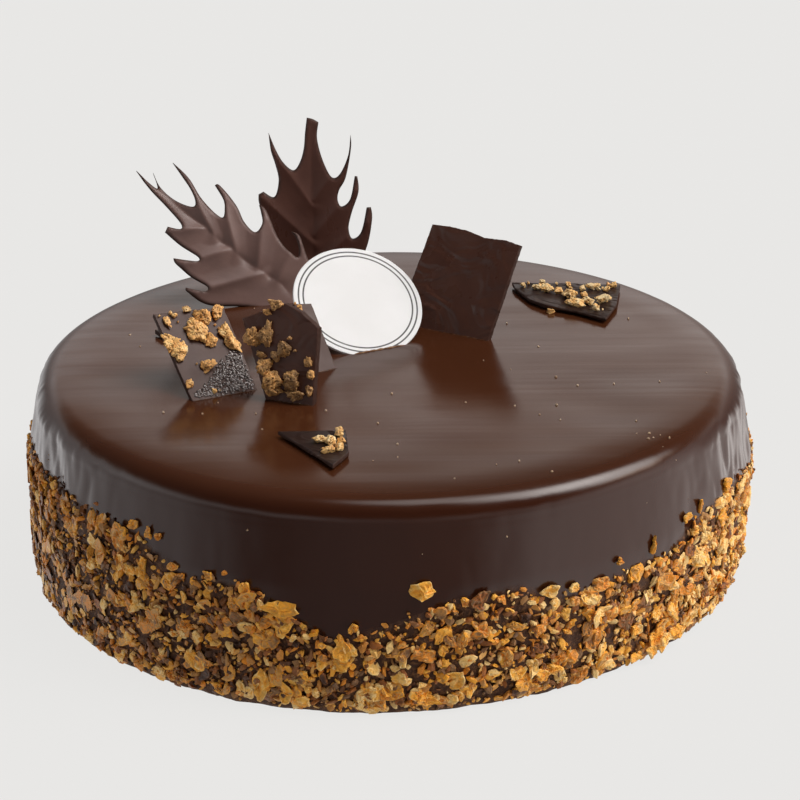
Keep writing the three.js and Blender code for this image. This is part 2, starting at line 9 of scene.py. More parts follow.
import logging
import math
from collections.abc import Iterable
from dataclasses import dataclass, field
from enum import Enum

import bmesh
import bpy
import numpy as np
from mathutils import Matrix, Vector, noise
from mathutils.geometry import delaunay_2d_cdt


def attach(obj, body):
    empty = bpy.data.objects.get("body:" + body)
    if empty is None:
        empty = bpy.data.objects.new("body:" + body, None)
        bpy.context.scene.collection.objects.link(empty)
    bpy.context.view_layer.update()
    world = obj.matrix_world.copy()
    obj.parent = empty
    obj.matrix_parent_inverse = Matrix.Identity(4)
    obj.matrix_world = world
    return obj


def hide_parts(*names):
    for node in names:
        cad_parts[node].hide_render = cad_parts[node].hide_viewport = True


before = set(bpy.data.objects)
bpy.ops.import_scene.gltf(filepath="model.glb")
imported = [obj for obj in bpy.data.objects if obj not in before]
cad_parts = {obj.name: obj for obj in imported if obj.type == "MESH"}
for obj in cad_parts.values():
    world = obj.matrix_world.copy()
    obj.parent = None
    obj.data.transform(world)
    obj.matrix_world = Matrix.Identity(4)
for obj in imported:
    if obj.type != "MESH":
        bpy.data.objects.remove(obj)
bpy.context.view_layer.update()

LOG = logging.getLogger("mousse_cake")
MM = 0.001
Point = tuple[float, float]
Triple = tuple[float, float, float]
Colour = Triple
Face = tuple[int, ...]
Many = np.ndarray | float
Socket = bpy.types.NodeSocket
Material = bpy.types.Material

CAKE_HEIGHT = 60.0
TOP_RADIUS = 100.0
RIM_ROUNDING = 7.0
SKIRT_RADIUS = 102.0
SKIRT_HEIGHT = 36.0
BED_RADIUS = 101.8
BED_LOW = 12.0
FOOT_RADIUS = 99.4
FOOT_HEIGHT = 4.0
FOOT_DEPTH = 5.0
GAP = 0.3
TILE_THICKNESS = 1.8
THICK_TILE_THICKNESS = 2.6
SHARD_THICKNESS = 1.6
LEAF_THICKNESS = 1.3
SAME_POINT = 1e-6


# ---- small helpers ---------------------------------------------------------------------------


def smoothstep(value: Many, low: float, high: float) -> np.ndarray:
    """A smooth rise from 0 at low to 1 at high.

    Args:
        value: where to read the rise.
        low: where it starts.
        high: where it ends.

    Returns:
        Values from 0 to 1.
    """
    t = np.clip((np.asarray(value, float) - low) / (high - low), 0.0, 1.0)
    return t * t * (3.0 - 2.0 * t)


def noise_at(points: np.ndarray, scale: float, seed: float = 0.0) -> np.ndarray:
    """Smooth noise from about -1 to 1.

    Args:
        points: an (n, 3) array.
        scale: how fine it is, per unit of the points.
        seed: shifts the pattern.

    Returns:
        One value for each point.
    """
    moved = points * scale + np.array([seed, seed * 1.7, -seed])
    return np.array([noise.noise(Vector(p)) for p in moved])


def distance_to_path(points: np.ndarray, path: Iterable[Point]) -> np.ndarray:
    """How far points lie from a chain of straight stretches.

    Args:
        points: an (n, 2) array.
        path: the corners of the chain.

    Returns:
        One distance for each point.
    """
    best = np.full(len(points), np.inf)
    for start, end in zip(path[:-1], path[1:]):
        a, b = np.array(start), np.array(end)
        along = b - a
        t = np.clip((points - a) @ along / (along @ along), 0.0, 1.0)
        best = np.minimum(best, np.linalg.norm(points - (a + t[:, None] * along), axis=1))
    return best


def inside(points: np.ndarray, outline: np.ndarray) -> np.ndarray:
    """Whether points lie within a closed outline.

    Args:
        points: an (n, 2) array.
        outline: the corners of the outline.

    Returns:
        One truth value for each point.
    """
    result = np.zeros(len(points), bool)
    for (x0, y0), (x1, y1) in zip(outline, np.roll(outline, -1, axis=0)):
        if y0 == y1:
            continue
        crosses = (points[:, 1] < y0) != (points[:, 1] < y1)
        at = x0 + (points[:, 1] - y0) * (x1 - x0) / (y1 - y0)
        result ^= crosses & (points[:, 0] < at)
    return result


def resampled(outline: np.ndarray, step: float) -> np.ndarray:
    """Adds points along an outline, so that no side is longer than a step.

    Args:
        outline: the corners of a closed outline.
        step: the longest side.

    Returns:
        The finer outline.
    """
    points = []
    for a, b in zip(outline, np.roll(outline, -1, axis=0)):
        count = max(1, math.ceil(np.linalg.norm(b - a) / step))
        points.extend(a + (b - a) * k / count for k in range(count))
    return np.array(points)


def outline_normals(outline: np.ndarray) -> np.ndarray:
    """The outward direction at each point of a counter-clockwise outline."""
    ahead = np.roll(outline, -1, axis=0) - np.roll(outline, 1, axis=0)
    ahead /= np.linalg.norm(ahead, axis=1)[:, None]
    return np.stack([ahead[:, 1], -ahead[:, 0]], axis=1)


def raised(flat: np.ndarray, height: Many = 0.0) -> np.ndarray:
    """Points of a plane with a height each, or one for all of them."""
    return np.column_stack([flat, np.broadcast_to(height, len(flat))])


def on_side(radius: Many, azimuth: Many, height: Many) -> np.ndarray:
    """Points round the cake's axis.

    Args:
        radius: how far out they lie.
        azimuth: where round the axis, in degrees.
        height: above the underside.

    Returns:
        An (n, 3) array, or a single point where all three are plain numbers.
    """
    turned = np.radians(azimuth)
    parts = np.broadcast_arrays(radius * np.cos(turned), radius * np.sin(turned), height)
    return np.stack(parts, axis=-1)


def tube_faces(rows: int, count: int) -> list[Face]:
    """The four-sided faces between rings that follow one another.

    Args:
        rows: how many rings there are.
        count: how many points each has.

    Returns:
        The faces.
    """
    return [(k * count + i, k * count + j, (k + 1) * count + j, (k + 1) * count + i)
            for k in range(rows - 1) for i, j in pairs(count)]


def fan_faces(first: int, count: int, middle: int) -> list[Face]:
    """The triangles between a ring, by the number of its first point, and its middle."""
    return [(first + i, first + j, middle) for i, j in pairs(count)]


def pairs(count: int) -> list[tuple[int, int]]:
    """Each point of a ring with the next one."""
    return [(i, (i + 1) % count) for i in range(count)]


def closed(outline: np.ndarray) -> np.ndarray:
    """An outline with its first point again at its end."""
    return np.vstack([outline, outline[:1]])


def filled(outline: np.ndarray, box: np.ndarray, step: float,
           clear: float) -> tuple[np.ndarray, list[Face]]:
    """Fills an outline with triangles over an even grid.

    Args:
        outline: its corners, which come first in the result.
        box: points whose lowest corner the grid starts from.
        step: the grid's step.
        clear: how far the grid's points stay from the outline.

    Returns:
        The points and the triangles.
    """
    low, high = box.min(axis=0), box.max(axis=0)
    grid = np.stack(np.meshgrid(np.arange(low[0], high[0], step),
                                np.arange(low[1], high[1], step)), axis=-1).reshape(-1, 2)
    grid = grid[inside(grid, outline)]
    grid = grid[distance_to_path(grid, closed(outline)) > clear]
    everything = np.vstack([outline, grid])
    points, _, faces, *_ = delaunay_2d_cdt([Vector(p) for p in everything],
                                           pairs(len(outline)), [], 1, SAME_POINT)
    if len(points) != len(everything):
        raise ValueError("the filled face's points don't match its outline")
    return np.array([p[:] for p in points]), [tuple(face) for face in faces]


def and_back(faces: list[Face], count: int) -> list[Face]:
    """The faces of a front, and the same of a back whose points follow the front's."""
    return faces + [tuple(count + v for v in reversed(face)) for face in faces]


@dataclass(frozen=True)
class Place:
    """Where a standing piece meets the top of the cake, its turn and its lean back."""

    across: float
    back: float
    yaw: float
    lean: float

    def matrix(self) -> Matrix:
        """The place as a matrix in millimetres: X across the face, Y up it, Z out of its front."""
        turn = Matrix.Rotation(math.radians(self.yaw), 4, "Z")
        tilt = Matrix.Rotation(math.radians(90.0 - self.lean), 4, "X")
        return Matrix.Translation((self.across, self.back, CAKE_HEIGHT)) @ turn @ tilt

    def moved(self, points: np.ndarray) -> np.ndarray:
        """The points of a face, carried to where the piece stands."""
        matrix = np.array(self.matrix())
        return points @ matrix[:3, :3].T + matrix[:3, 3]


@dataclass(frozen=True)
class Lying:
    """A piece that lies flat on the top of the cake."""

    height: float = CAKE_HEIGHT + GAP + SHARD_THICKNESS

    def moved(self, points: np.ndarray) -> np.ndarray:
        """The points of a face, raised to where the piece lies."""
        return points + np.array([0.0, 0.0, self.height])


class Shell:
    """The vertices and faces of a piece in millimetres, with named values on its vertices."""

    def __init__(self) -> None:
        """Starts with nothing in it."""
        self.points: list[np.ndarray] = []
        self.faces: list[Face] = []
        self.values: dict[str, list[np.ndarray]] = {}
        self.count = 0

    def add(self, points: np.ndarray, faces: list[Face], **values: np.ndarray) -> None:
        """Adds one closed form.

        Args:
            points: its vertices.
            faces: its faces, by the numbers of its own vertices.
            values: named values, one for each vertex.
        """
        self.faces.extend(tuple(int(v) + self.count for v in face) for face in faces)
        self.points.append(points)
        self.count += len(points)
        for name, numbers in values.items():
            self.values.setdefault(name, []).append(np.asarray(numbers, float))

    def make(self, name: str, material: Material, smooth: bool = True) -> bpy.types.Object:
        """Makes the object, with its faces outwards.

        Args:
            name: the piece's name.
            material: its finish.
            smooth: whether its faces are shaded smooth.

        Returns:
            The new object.
        """
        mesh = bpy.data.meshes.new(name)
        mesh.from_pydata((np.concatenate(self.points) * MM).tolist(), [], self.faces)
        for key, numbers in self.values.items():
            keep_value(mesh, key, np.concatenate(numbers))
        work = bmesh.new()
        work.from_mesh(mesh)
        bmesh.ops.recalc_face_normals(work, faces=work.faces)
        for face in work.faces:
            face.smooth = smooth
        work.to_mesh(mesh)
        work.free()
        mesh.materials.append(material)
        return linked(name, mesh)


def keep_value(mesh: bpy.types.Mesh, name: str, numbers: np.ndarray) -> None:
    """Keeps a named value on each vertex of a mesh."""
    mesh.attributes.new(name, "FLOAT", "POINT").data.foreach_set("value", numbers)


def linked(name: str, mesh: bpy.types.Mesh) -> bpy.types.Object:
    """An object with a mesh, in the scene."""
    piece = bpy.data.objects.new(name, mesh)
    bpy.context.scene.collection.objects.link(piece)
    return piece


def sheet(name: str, points: np.ndarray, wide: int, cover: np.ndarray) -> bpy.types.Object:
    """An open sheet that things are scattered on.

    Args:
        name: its name.
        points: its points, row by row, in millimetres.
        wide: how many points a row has.
        cover: how thickly each point is covered, from 0 to 1.

    Returns:
        The sheet as an object.
    """
    faces = [(k + i, k + i + 1, k + wide + i + 1, k + wide + i)
             for k in range(0, len(points) - wide, wide) for i in range(wide - 1)]
    mesh = bpy.data.meshes.new(name)
    mesh.from_pydata((points * MM).tolist(), [], faces)
    keep_value(mesh, "cover", cover)
    return linked(name, mesh)


def hand_over(piece: bpy.types.Object, slot: str, *nodes: str) -> None:
    """Gives a finished piece its body and hides the nodes it stands for.

    Args:
        piece: the finished object.
        slot: the material slot of the record; not used.
        nodes: the nodes that it replaces.
    """
    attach(piece, "root")
    if nodes:
        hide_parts(*nodes)
    piece.data.calc_loop_triangles()
    LOG.info("%s: %d triangles", piece.name, len(piece.data.loop_triangles))


# ---- finishes --------------------------------------------------------------------------------


class Tree:
    """A node tree, built by short calls."""

    def __init__(self, tree: bpy.types.NodeTree) -> None:
        """Works on one tree."""
        self.tree = tree

    def node(self, kind: str, **inputs: object) -> bpy.types.Node:
        """Adds a node.

        Args:
            kind: the node's type.
            inputs: values or sockets for its inputs, with _ for a space.

        Returns:
            The new node.
        """
        made = self.tree.nodes.new(kind)
        for name, value in inputs.items():
            self.feed(made.inputs[name.replace("_", " ")], value)
        return made

    def feed(self, target: Socket, value: object) -> None:
        """Links a socket to an input, or sets the input's value."""
        if isinstance(value, bpy.types.NodeSocket):
            self.tree.links.new(value, target)
        else:
            target.default_value = value

    def maths(self, kind: str, first: object, second: object = 0.0) -> Socket:
        """A sum, product or the like of two values."""
        made = self.node("ShaderNodeMath")
        made.operation = kind
        self.feed(made.inputs[0], first)
        self.feed(made.inputs[1], second)
        return made.outputs["Value"]

    def ramp(self, value: Socket, stops: Iterable[tuple[float, Colour]],
             kind: str = "LINEAR") -> Socket:
        """Colours along a value.

        Args:
            value: where along the ramp.
            stops: places from 0 to 1, each with its colour.
            kind: how it goes from stop to stop.

        Returns:
            The colour.
        """
        made = self.node("ShaderNodeValToRGB", Fac=value)
        made.color_ramp.interpolation = kind
        elements = made.color_ramp.elements
        stops = tuple(stops)
        while len(elements) < len(stops):
            elements.new(0.5)
        for element, (at, colour) in zip(elements, stops):
            element.position = at
            element.color = (*colour, 1.0)
        return made.outputs["Color"]

    def curve(self, value: Socket, *stops: Point) -> Socket:
        """A smooth curve through stops of a value from -1 to 1."""
        share = self.maths("ADD", self.maths("MULTIPLY", value, 0.5), 0.5)
        return self.ramp(share, (((at + 1) / 2, (level,) * 3) for at, level in stops), "EASE")

    def mix(self, share: object, first: object, second: object, kind: str = "MIX") -> Socket:
        """A mix of two colours."""
        made = self.node("ShaderNodeMix")
        made.data_type = "RGBA"
        made.blend_type = kind
        for index, value in ((0, share), (6, first), (7, second)):
            self.feed(made.inputs[index], (*value, 1.0) if isinstance(value, tuple) else value)
        return made.outputs[2]


class Paint(Tree):
    """The node tree of a material with one shader."""

    def __init__(self, name: str, roughness: float, ior: float) -> None:
        """Starts a material.

        Args:
            name: the material's name.
            roughness: the shader's roughness, until something is linked to it.
            ior: the shader's index of refraction.
        """
        self.material = bpy.data.materials.new(name)
        self.material.use_nodes = True
        super().__init__(self.material.node_tree)
        self.shader = self.tree.nodes["Principled BSDF"]
        self.set("Roughness", roughness)
        self.set("IOR", ior)
        self.place = self.node("ShaderNodeTexCoord").outputs["Object"]

    def set(self, name: str, value: object) -> None:
        """Links or sets one of the shader's inputs."""
        self.feed(self.shader.inputs[name], value)

    def value(self, name: str) -> Socket:
        """A named value of the mesh's vertices."""
        made = self.node("ShaderNodeAttribute")
        made.attribute_name = name
        return made.outputs["Fac"]

    def stretched(self, x: float, y: float, z: float, turn: float = 0.0) -> Socket:
        """Object coordinates, turned about the vertical and then scaled along each axis."""
        made = self.node("ShaderNodeMapping", Vector=self.place, Scale=(x, y, z),
                         Rotation=(0.0, 0.0, math.radians(turn)))
        return made.outputs["Vector"]

    def noise(self, scale: float, detail: float = 3.0, rough: float = 0.5,
              at: Socket | None = None) -> Socket:
        """Noise from about 0 to 1.

        Args:
            scale: how fine it is, per metre.
            detail: how many finer layers it has.
            rough: how strong those are.
            at: coordinates, or the object's own.

        Returns:
            The noise's value.
        """
        made = self.node("ShaderNodeTexNoise", Vector=at or self.place, Scale=scale,
                         Detail=detail, Roughness=rough)
        return made.outputs["Fac"]

    def cells(self, scale: float) -> Socket:
        """The distance to the nearest of many scattered points, per metre."""
        made = self.node("ShaderNodeTexVoronoi", Vector=self.place, Scale=scale)
        return made.outputs["Distance"]

    def ranged(self, value: Socket, low: float, high: float, to_low: float = 0.0,
               to_high: float = 1.0) -> Socket:
        """Stretches a value from one range to another, and keeps it there."""
        made = self.node("ShaderNodeMapRange", Value=value, From_Min=low, From_Max=high,
                         To_Min=to_low, To_Max=to_high)
        return made.outputs["Result"]

    def bump(self, height: Socket, depth: float, below: Socket | None = None) -> Socket:
        """A bump of a depth in millimetres, over another one if given."""
        made = self.node("ShaderNodeBump", Height=height, Strength=1.0, Distance=depth * MM)
        if below is not None:
            self.feed(made.inputs["Normal"], below)
        return made.outputs["Normal"]


@dataclass(frozen=True)
class GlazeFinish:
    """Smooth dark glaze with fine spatula streaks, painted shade on the side below the rim, and a
    dusty bed under the flakes.
    """

    brown: Colour = (0.07, 0.022, 0.0082)
    deep: Colour = (0.057, 0.0177, 0.0068)
    # Painted shade: the side colour is the same glaze darkened where the side below the rim gets
    # less light.
    side: Colour = (0.04, 0.0105, 0.0042)
    dust: Colour = (0.19, 0.08, 0.024)
    bed: Colour = (0.058, 0.02, 0.007)
    roughness: float = 0.17
    ior: float = 1.47
    streak_depth: float = 0.016
    ripple_depth: float = 0.22
    grain_depth: float = 0.5
    bed_roughness: float = 0.55   # more than the smooth glaze's
    side_heights: Point = (59.7, 56.6)  # where the side's painted shade starts and is full

    def build(self) -> Material:
        """Makes the material."""
        paint = Paint("dark_glaze", self.roughness, self.ior)
        bed = paint.value("bed")
        broad = paint.noise(14.0, 2.0)
        glaze = paint.mix(paint.ranged(broad, 0.35, 0.65), self.brown, self.deep)
        grain = paint.noise(900.0, 4.0, 0.7)
        height = paint.node("ShaderNodeSeparateXYZ", Vector=paint.place).outputs["Z"]
        # Painted shade: below the rim the glaze takes the darker side colour.
        low = paint.ranged(height, *(level * MM for level in self.side_heights))
        glaze = paint.mix(low, glaze, self.side)
        dusty = paint.mix(paint.ranged(grain, 0.48, 0.66), self.bed, self.dust)
        paint.set("Base Color", paint.mix(bed, glaze, dusty))
        smear = paint.noise(1.0, 4.0, 0.6, paint.stretched(22.0, 160.0, 40.0))
        sheen = paint.ranged(smear, 0.3, 0.7, self.roughness - 0.035, self.roughness + 0.06)
        rougher = paint.maths("MULTIPLY", bed, self.bed_roughness)
        paint.set("Roughness", paint.maths("ADD", sheen, rougher))
        streaks = paint.noise(1.0, 3.0, 0.55, paint.stretched(7.0, 420.0, 60.0, 3.0))
        ripples = paint.noise(1.0, 1.0, 0.4, paint.stretched(16.0, 60.0, 26.0, -8.0))
        calm = paint.maths("SUBTRACT", 1.0, bed)
        normal = paint.bump(paint.maths("MULTIPLY", ripples, paint.value("ripple")),
                            self.ripple_depth)
        normal = paint.bump(paint.maths("MULTIPLY", streaks, calm), self.streak_depth, normal)
        normal = paint.bump(paint.maths("MULTIPLY", grain, bed), self.grain_depth, normal)
        paint.set("Normal", normal)
        return paint.material


@dataclass(frozen=True)
class ChocolateFinish:
    """Set chocolate: how dark it is, how it shines, the marks of the brush or the knife, and painted
    shade on its edges.
    """

    name: str
    light: Colour
    dark: Colour
    roughness: float
    grain: Triple = (60.0, 60.0, 60.0)
    grain_depth: float = 0.05
    smears: float = 0.0
    # Painted shade: the colour of the edges stands in for shade on the rounded rim; the edges are
    # also rougher.
    edge_shade: Colour = (0.05, 0.022, 0.015)
    ior: float = 1.42

    def build(self) -> Material:
        """Makes the material."""
        paint = Paint(self.name, self.roughness, self.ior)
        cloud = paint.noise(90.0, 4.0, 0.6)
        edge = paint.value("edge")
        face = paint.mix(paint.ranged(cloud, 0.32, 0.68), self.dark, self.light)
        # Painted shade along the edges.
        paint.set("Base Color", paint.mix(edge, face, self.edge_shade))
        wipe = paint.noise(1.0, 5.0, 0.62, paint.stretched(*self.grain, 20.0))
        fine = paint.noise(1400.0, 3.0, 0.6)
        soft = paint.ranged(wipe, 0.35, 0.65, self.roughness - 0.06, self.roughness + 0.1)
        paint.set("Roughness", paint.maths("ADD", soft, paint.maths("MULTIPLY", edge, 0.3)))
        normal = paint.bump(wipe, self.grain_depth)
        if self.smears:
            crackle = paint.node("ShaderNodeTexNoise", Vector=paint.stretched(70, 70, 110, 35.0),
                                 Scale=1.0, Detail=2.0, Distortion=1.6)
            ridges = paint.ranged(crackle.outputs["Fac"], 0.42, 0.62)
            normal = paint.bump(ridges, self.smears, normal)
        paint.set("Normal", paint.bump(fine, 0.015, normal))
        return paint.material


@dataclass(frozen=True)
class CaramelFinish:
    """Caramel: a colour for each piece by its tone, painted shade in its pits and where its grain
    sinks, and toasted spots.
    """

    name: str
    stops: tuple[tuple[float, Colour], ...]
    # This colour is painted shade in the hollows of the crumbs.
    shaded_pit: Colour = (0.12, 0.04, 0.012)
    toasted: Colour = (0.22, 0.085, 0.026)
    roughness: float = 0.42
    ior: float = 1.45
    grain_depth: float = 0.12
    grain_scale: float = 1100.0
    smears: float = 0.0
    chocolate: Colour = (0.05, 0.024, 0.013)

    def build(self) -> Material:
        """Makes the material."""
        paint = Paint(self.name, self.roughness, self.ior)
        body = paint.ramp(paint.value("tone"), self.stops)
        spots = paint.ranged(paint.noise(420.0, 4.0, 0.65), 0.56, 0.76, 0.0, 0.55)
        body = paint.mix(spots, body, self.toasted)
        smear = paint.ranged(paint.noise(260.0, 5.0, 0.7), 0.5, 0.7, 0.0, self.smears)
        body = paint.mix(smear, body, self.chocolate)
        grain = paint.noise(self.grain_scale, 4.0, 0.65)
        # Painted shade: the colour darkens where the grain's bump sinks.
        shade = paint.ranged(grain, 0.3, 0.7, 0.82, 1.22)
        lit = paint.mix(1.0, body, paint.ramp(shade, ((0.0, (0.0,) * 3), (1.0, (1.0,) * 3))),
                        "MULTIPLY")
        # Painted shade: the hollows take the darker colour.
        paint.set("Base Color", paint.mix(paint.value("shaded_pit"), lit, self.shaded_pit))
        paint.set("Roughness", paint.ranged(grain, 0.3, 0.7, self.roughness - 0.1,
                                            self.roughness + 0.12))
        holes = paint.ranged(paint.cells(1250.0), 0.1, 0.4)
        paint.set("Normal", paint.bump(holes, self.grain_depth * 0.6,
                                       paint.bump(grain, self.grain_depth)))
        return paint.material


@dataclass(frozen=True)
class DiscFinish:
    """Smooth white card-like chocolate with two thin rings near its edge."""

    white: Colour = (0.87, 0.895, 0.91)
    shade: Colour = (0.84, 0.865, 0.875)
    ring: Colour = (0.03, 0.03, 0.033)
    rings: tuple[float, float] = (17.75, 16.35)
    ring_width: float = 0.42
    roughness: Point = (0.34, 0.44)
    ior: float = 1.45

    def build(self) -> Material:
        """Makes the material."""
        paint = Paint("white_disc", self.roughness[0], self.ior)
        cloud = paint.ranged(paint.noise(60.0, 3.0), 0.4, 0.6)
        face = paint.mix(cloud, self.white, self.shade)
        out = paint.value("out")
        marks = None
        for radius in self.rings:
            away = paint.maths("ABSOLUTE", paint.maths("SUBTRACT", out, radius))
            mark = paint.ranged(away, self.ring_width * 0.35, self.ring_width * 0.75, 1.0, 0.0)
            marks = mark if marks is None else paint.maths("MAXIMUM", marks, mark)
        printed = paint.maths("MULTIPLY", marks, paint.value("front"))
        paint.set("Base Color", paint.mix(printed, face, self.ring))
        paint.set("Roughness", paint.ranged(paint.noise(700.0), 0.3, 0.7, *self.roughness))
        paint.set("Normal", paint.bump(paint.noise(500.0, 4.0), 0.02))
        return paint.material


@dataclass(frozen=True)
class FloorFinish:
    """Pale plain paper that glows a little, so that shadows on it stay soft."""

    colour: Colour = (0.04, 0.04, 0.04)
    glow: Colour = (1.0, 0.992, 0.975)
    glow_strength: float = 0.768
    cloud: Colour = (0.12, 0.12, 0.12)
    cloud_share: float = 0.06

    def build(self) -> Material:
        """Makes the material."""
        paint = Paint("pale_paper", 0.9, 1.3)
        share = paint.ranged(paint.noise(3.0, 2.0), 0.0, 1.0, 0.0, self.cloud_share)
        paint.set("Base Color", paint.mix(share, self.colour, self.cloud))
        paint.set("Specular IOR Level", 0.0)
        paint.set("Emission Color", (*self.glow, 1.0))
        paint.set("Emission Strength", self.glow_strength)
        return paint.material


# The left leaf's greyish brown is partly painted sheen: a lighter colour stands in for the light
# that its satin face reflects.
LEAF_LEFT_CHOCOLATE = ChocolateFinish(
    "brushed_chocolate", (0.2, 0.121, 0.105), (0.15, 0.09, 0.078), 0.38,
    (50.0, 220.0, 90.0), 0.09)
LEAF_BACK_CHOCOLATE = ChocolateFinish(
    "leaf_chocolate", (0.165, 0.072, 0.053), (0.13, 0.057, 0.042), 0.32, (90.0, 60.0, 40.0),
    0.03)
MILK_TILE_CHOCOLATE = ChocolateFinish(
    "tile_chocolate", (0.075, 0.034, 0.024), (0.058, 0.026, 0.019), 0.4, (50.0, 90.0, 90.0), 0.03,
    ior=1.37)
DARK_TILE_CHOCOLATE = ChocolateFinish(
    "dark_tile_chocolate", (0.103, 0.043, 0.029), (0.078, 0.032, 0.022), 0.3,
    (60.0, 90.0, 60.0), 0.03, 0.3, ior=1.34)
SHARD_CHOCOLATE = ChocolateFinish(
    "shard_chocolate", (0.034, 0.017, 0.013), (0.02, 0.01, 0.008), 0.4, (60.0, 90.0, 60.0), 0.1,
    0.5, ior=1.36)
BEAD_CHOCOLATE = ChocolateFinish(
    "beads", (0.095, 0.062, 0.053), (0.065, 0.042, 0.036), 0.2, (60.0, 60.0, 60.0), 0.0, ior=2.5)
FLAKE_CARAMEL = CaramelFinish("caramel_flakes", (
    (0.0, (0.05, 0.02, 0.01)), (0.12, (0.15, 0.058, 0.02)), (0.24, (0.42, 0.14, 0.028)),
    (0.34, (0.25, 0.14, 0.07)), (0.44, (0.54, 0.265, 0.075)), (0.54, (0.88, 0.3, 0.02)),
    (0.64, (0.66, 0.37, 0.12)), (0.76, (1.0, 0.43, 0.035)), (0.88, (1.0, 0.54, 0.1)),
    (1.0, (1.0, 0.7, 0.29)),
), ior=1.36, smears=0.32)
CRUMB_CARAMEL = CaramelFinish("caramel_crumbs", (
    (0.0, (0.28, 0.16, 0.07)), (0.3, (0.54, 0.3, 0.11)), (0.55, (0.95, 0.5, 0.16)),
    (0.8, (1.0, 0.64, 0.25)), (1.0, (1.0, 0.8, 0.45)),
), ior=1.42, grain_depth=0.1, grain_scale=1500.0)
SPECK_CARAMEL = CaramelFinish("pale_specks", (
    (0.0, (0.28, 0.17, 0.09)), (0.5, (0.45, 0.32, 0.2)), (1.0, (0.66, 0.54, 0.41)),
), grain_depth=0.05)
LIP_CARAMEL = CaramelFinish("browned_glaze", (
    (0.0, (0.06, 0.026, 0.012)), (0.5, (0.13, 0.055, 0.02)), (1.0, (0.36, 0.2, 0.08)),
), roughness=0.25)


# ---- the cake and what clings to it -----------------------------------------------------------


@dataclass(frozen=True)
class Swell:
    """A broad uneven place of the side: where it is, how far it reaches, how far it stands out."""

    azimuth: float
    height: float
    spread: float
    rise: float
    out: float


@dataclass
class CakeSide:
    """The side's form, which the body and all that clings to it share."""

    swells: tuple[Swell, ...] = (
        Swell(-148, 8, 24, 16, 1.6), Swell(-105, 4, 22, 14, 1.2), Swell(-55, 6, 28, 16, -1.9),
        Swell(-172, 58, 18, 14, -0.8), Swell(158, 56, 20, 14, 0.6), Swell(20, 12, 26, 18, 0.6),
        Swell(110, 8, 26, 16, 0.9), Swell(0, 44, 42, 26, 0.8), Swell(-7, 33, 13, 6, 1.1),
        Swell(180, 46, 30, 26, 0.5),
    )
    flake_line: tuple[Point, ...] = (
        (-180, 41), (-164, 43), (-131, 42.5), (-121, 34), (-112, 36), (-98, 22), (-88, 28),
        (-81, 32.7), (-71, 34.5), (-62, 28.7), (-49, 32.4), (-44, 30.5), (-37, 36.7),
        (-27, 38.5), (-10, 35), (5, 38), (40, 33), (75, 36), (110, 31), (140, 37), (180, 41),
    )

    def radius(self, azimuth: Many, height: Many) -> np.ndarray:
        """The radius of the side.

        Args:
            azimuth: in degrees.
            height: above the underside.

        Returns:
            The radius for each pair.
        """
        levels = (0.0, FOOT_HEIGHT, BED_LOW, SKIRT_HEIGHT, CAKE_HEIGHT - RIM_ROUNDING)
        radii = (FOOT_RADIUS, (FOOT_RADIUS + BED_RADIUS) / 2, BED_RADIUS, SKIRT_RADIUS, TOP_RADIUS)
        return np.interp(height, levels, radii) + self.swell(azimuth, height)

    def swell(self, azimuth: Many, height: Many) -> np.ndarray:
        """How far the broad uneven places stand out."""
        total = 0.0
        for place in self.swells:
            along = ((azimuth - place.azimuth + 540.0) % 360.0 - 180.0) / place.spread
            up = (height - place.height) / place.rise
            total = total + place.out * np.exp(-along ** 2 - up ** 2)
        return total

    def line(self, azimuth: Many) -> np.ndarray:
        """The height of the flakes' upper edge."""
        where, heights = zip(*self.flake_line)
        return np.interp(azimuth, where, heights)


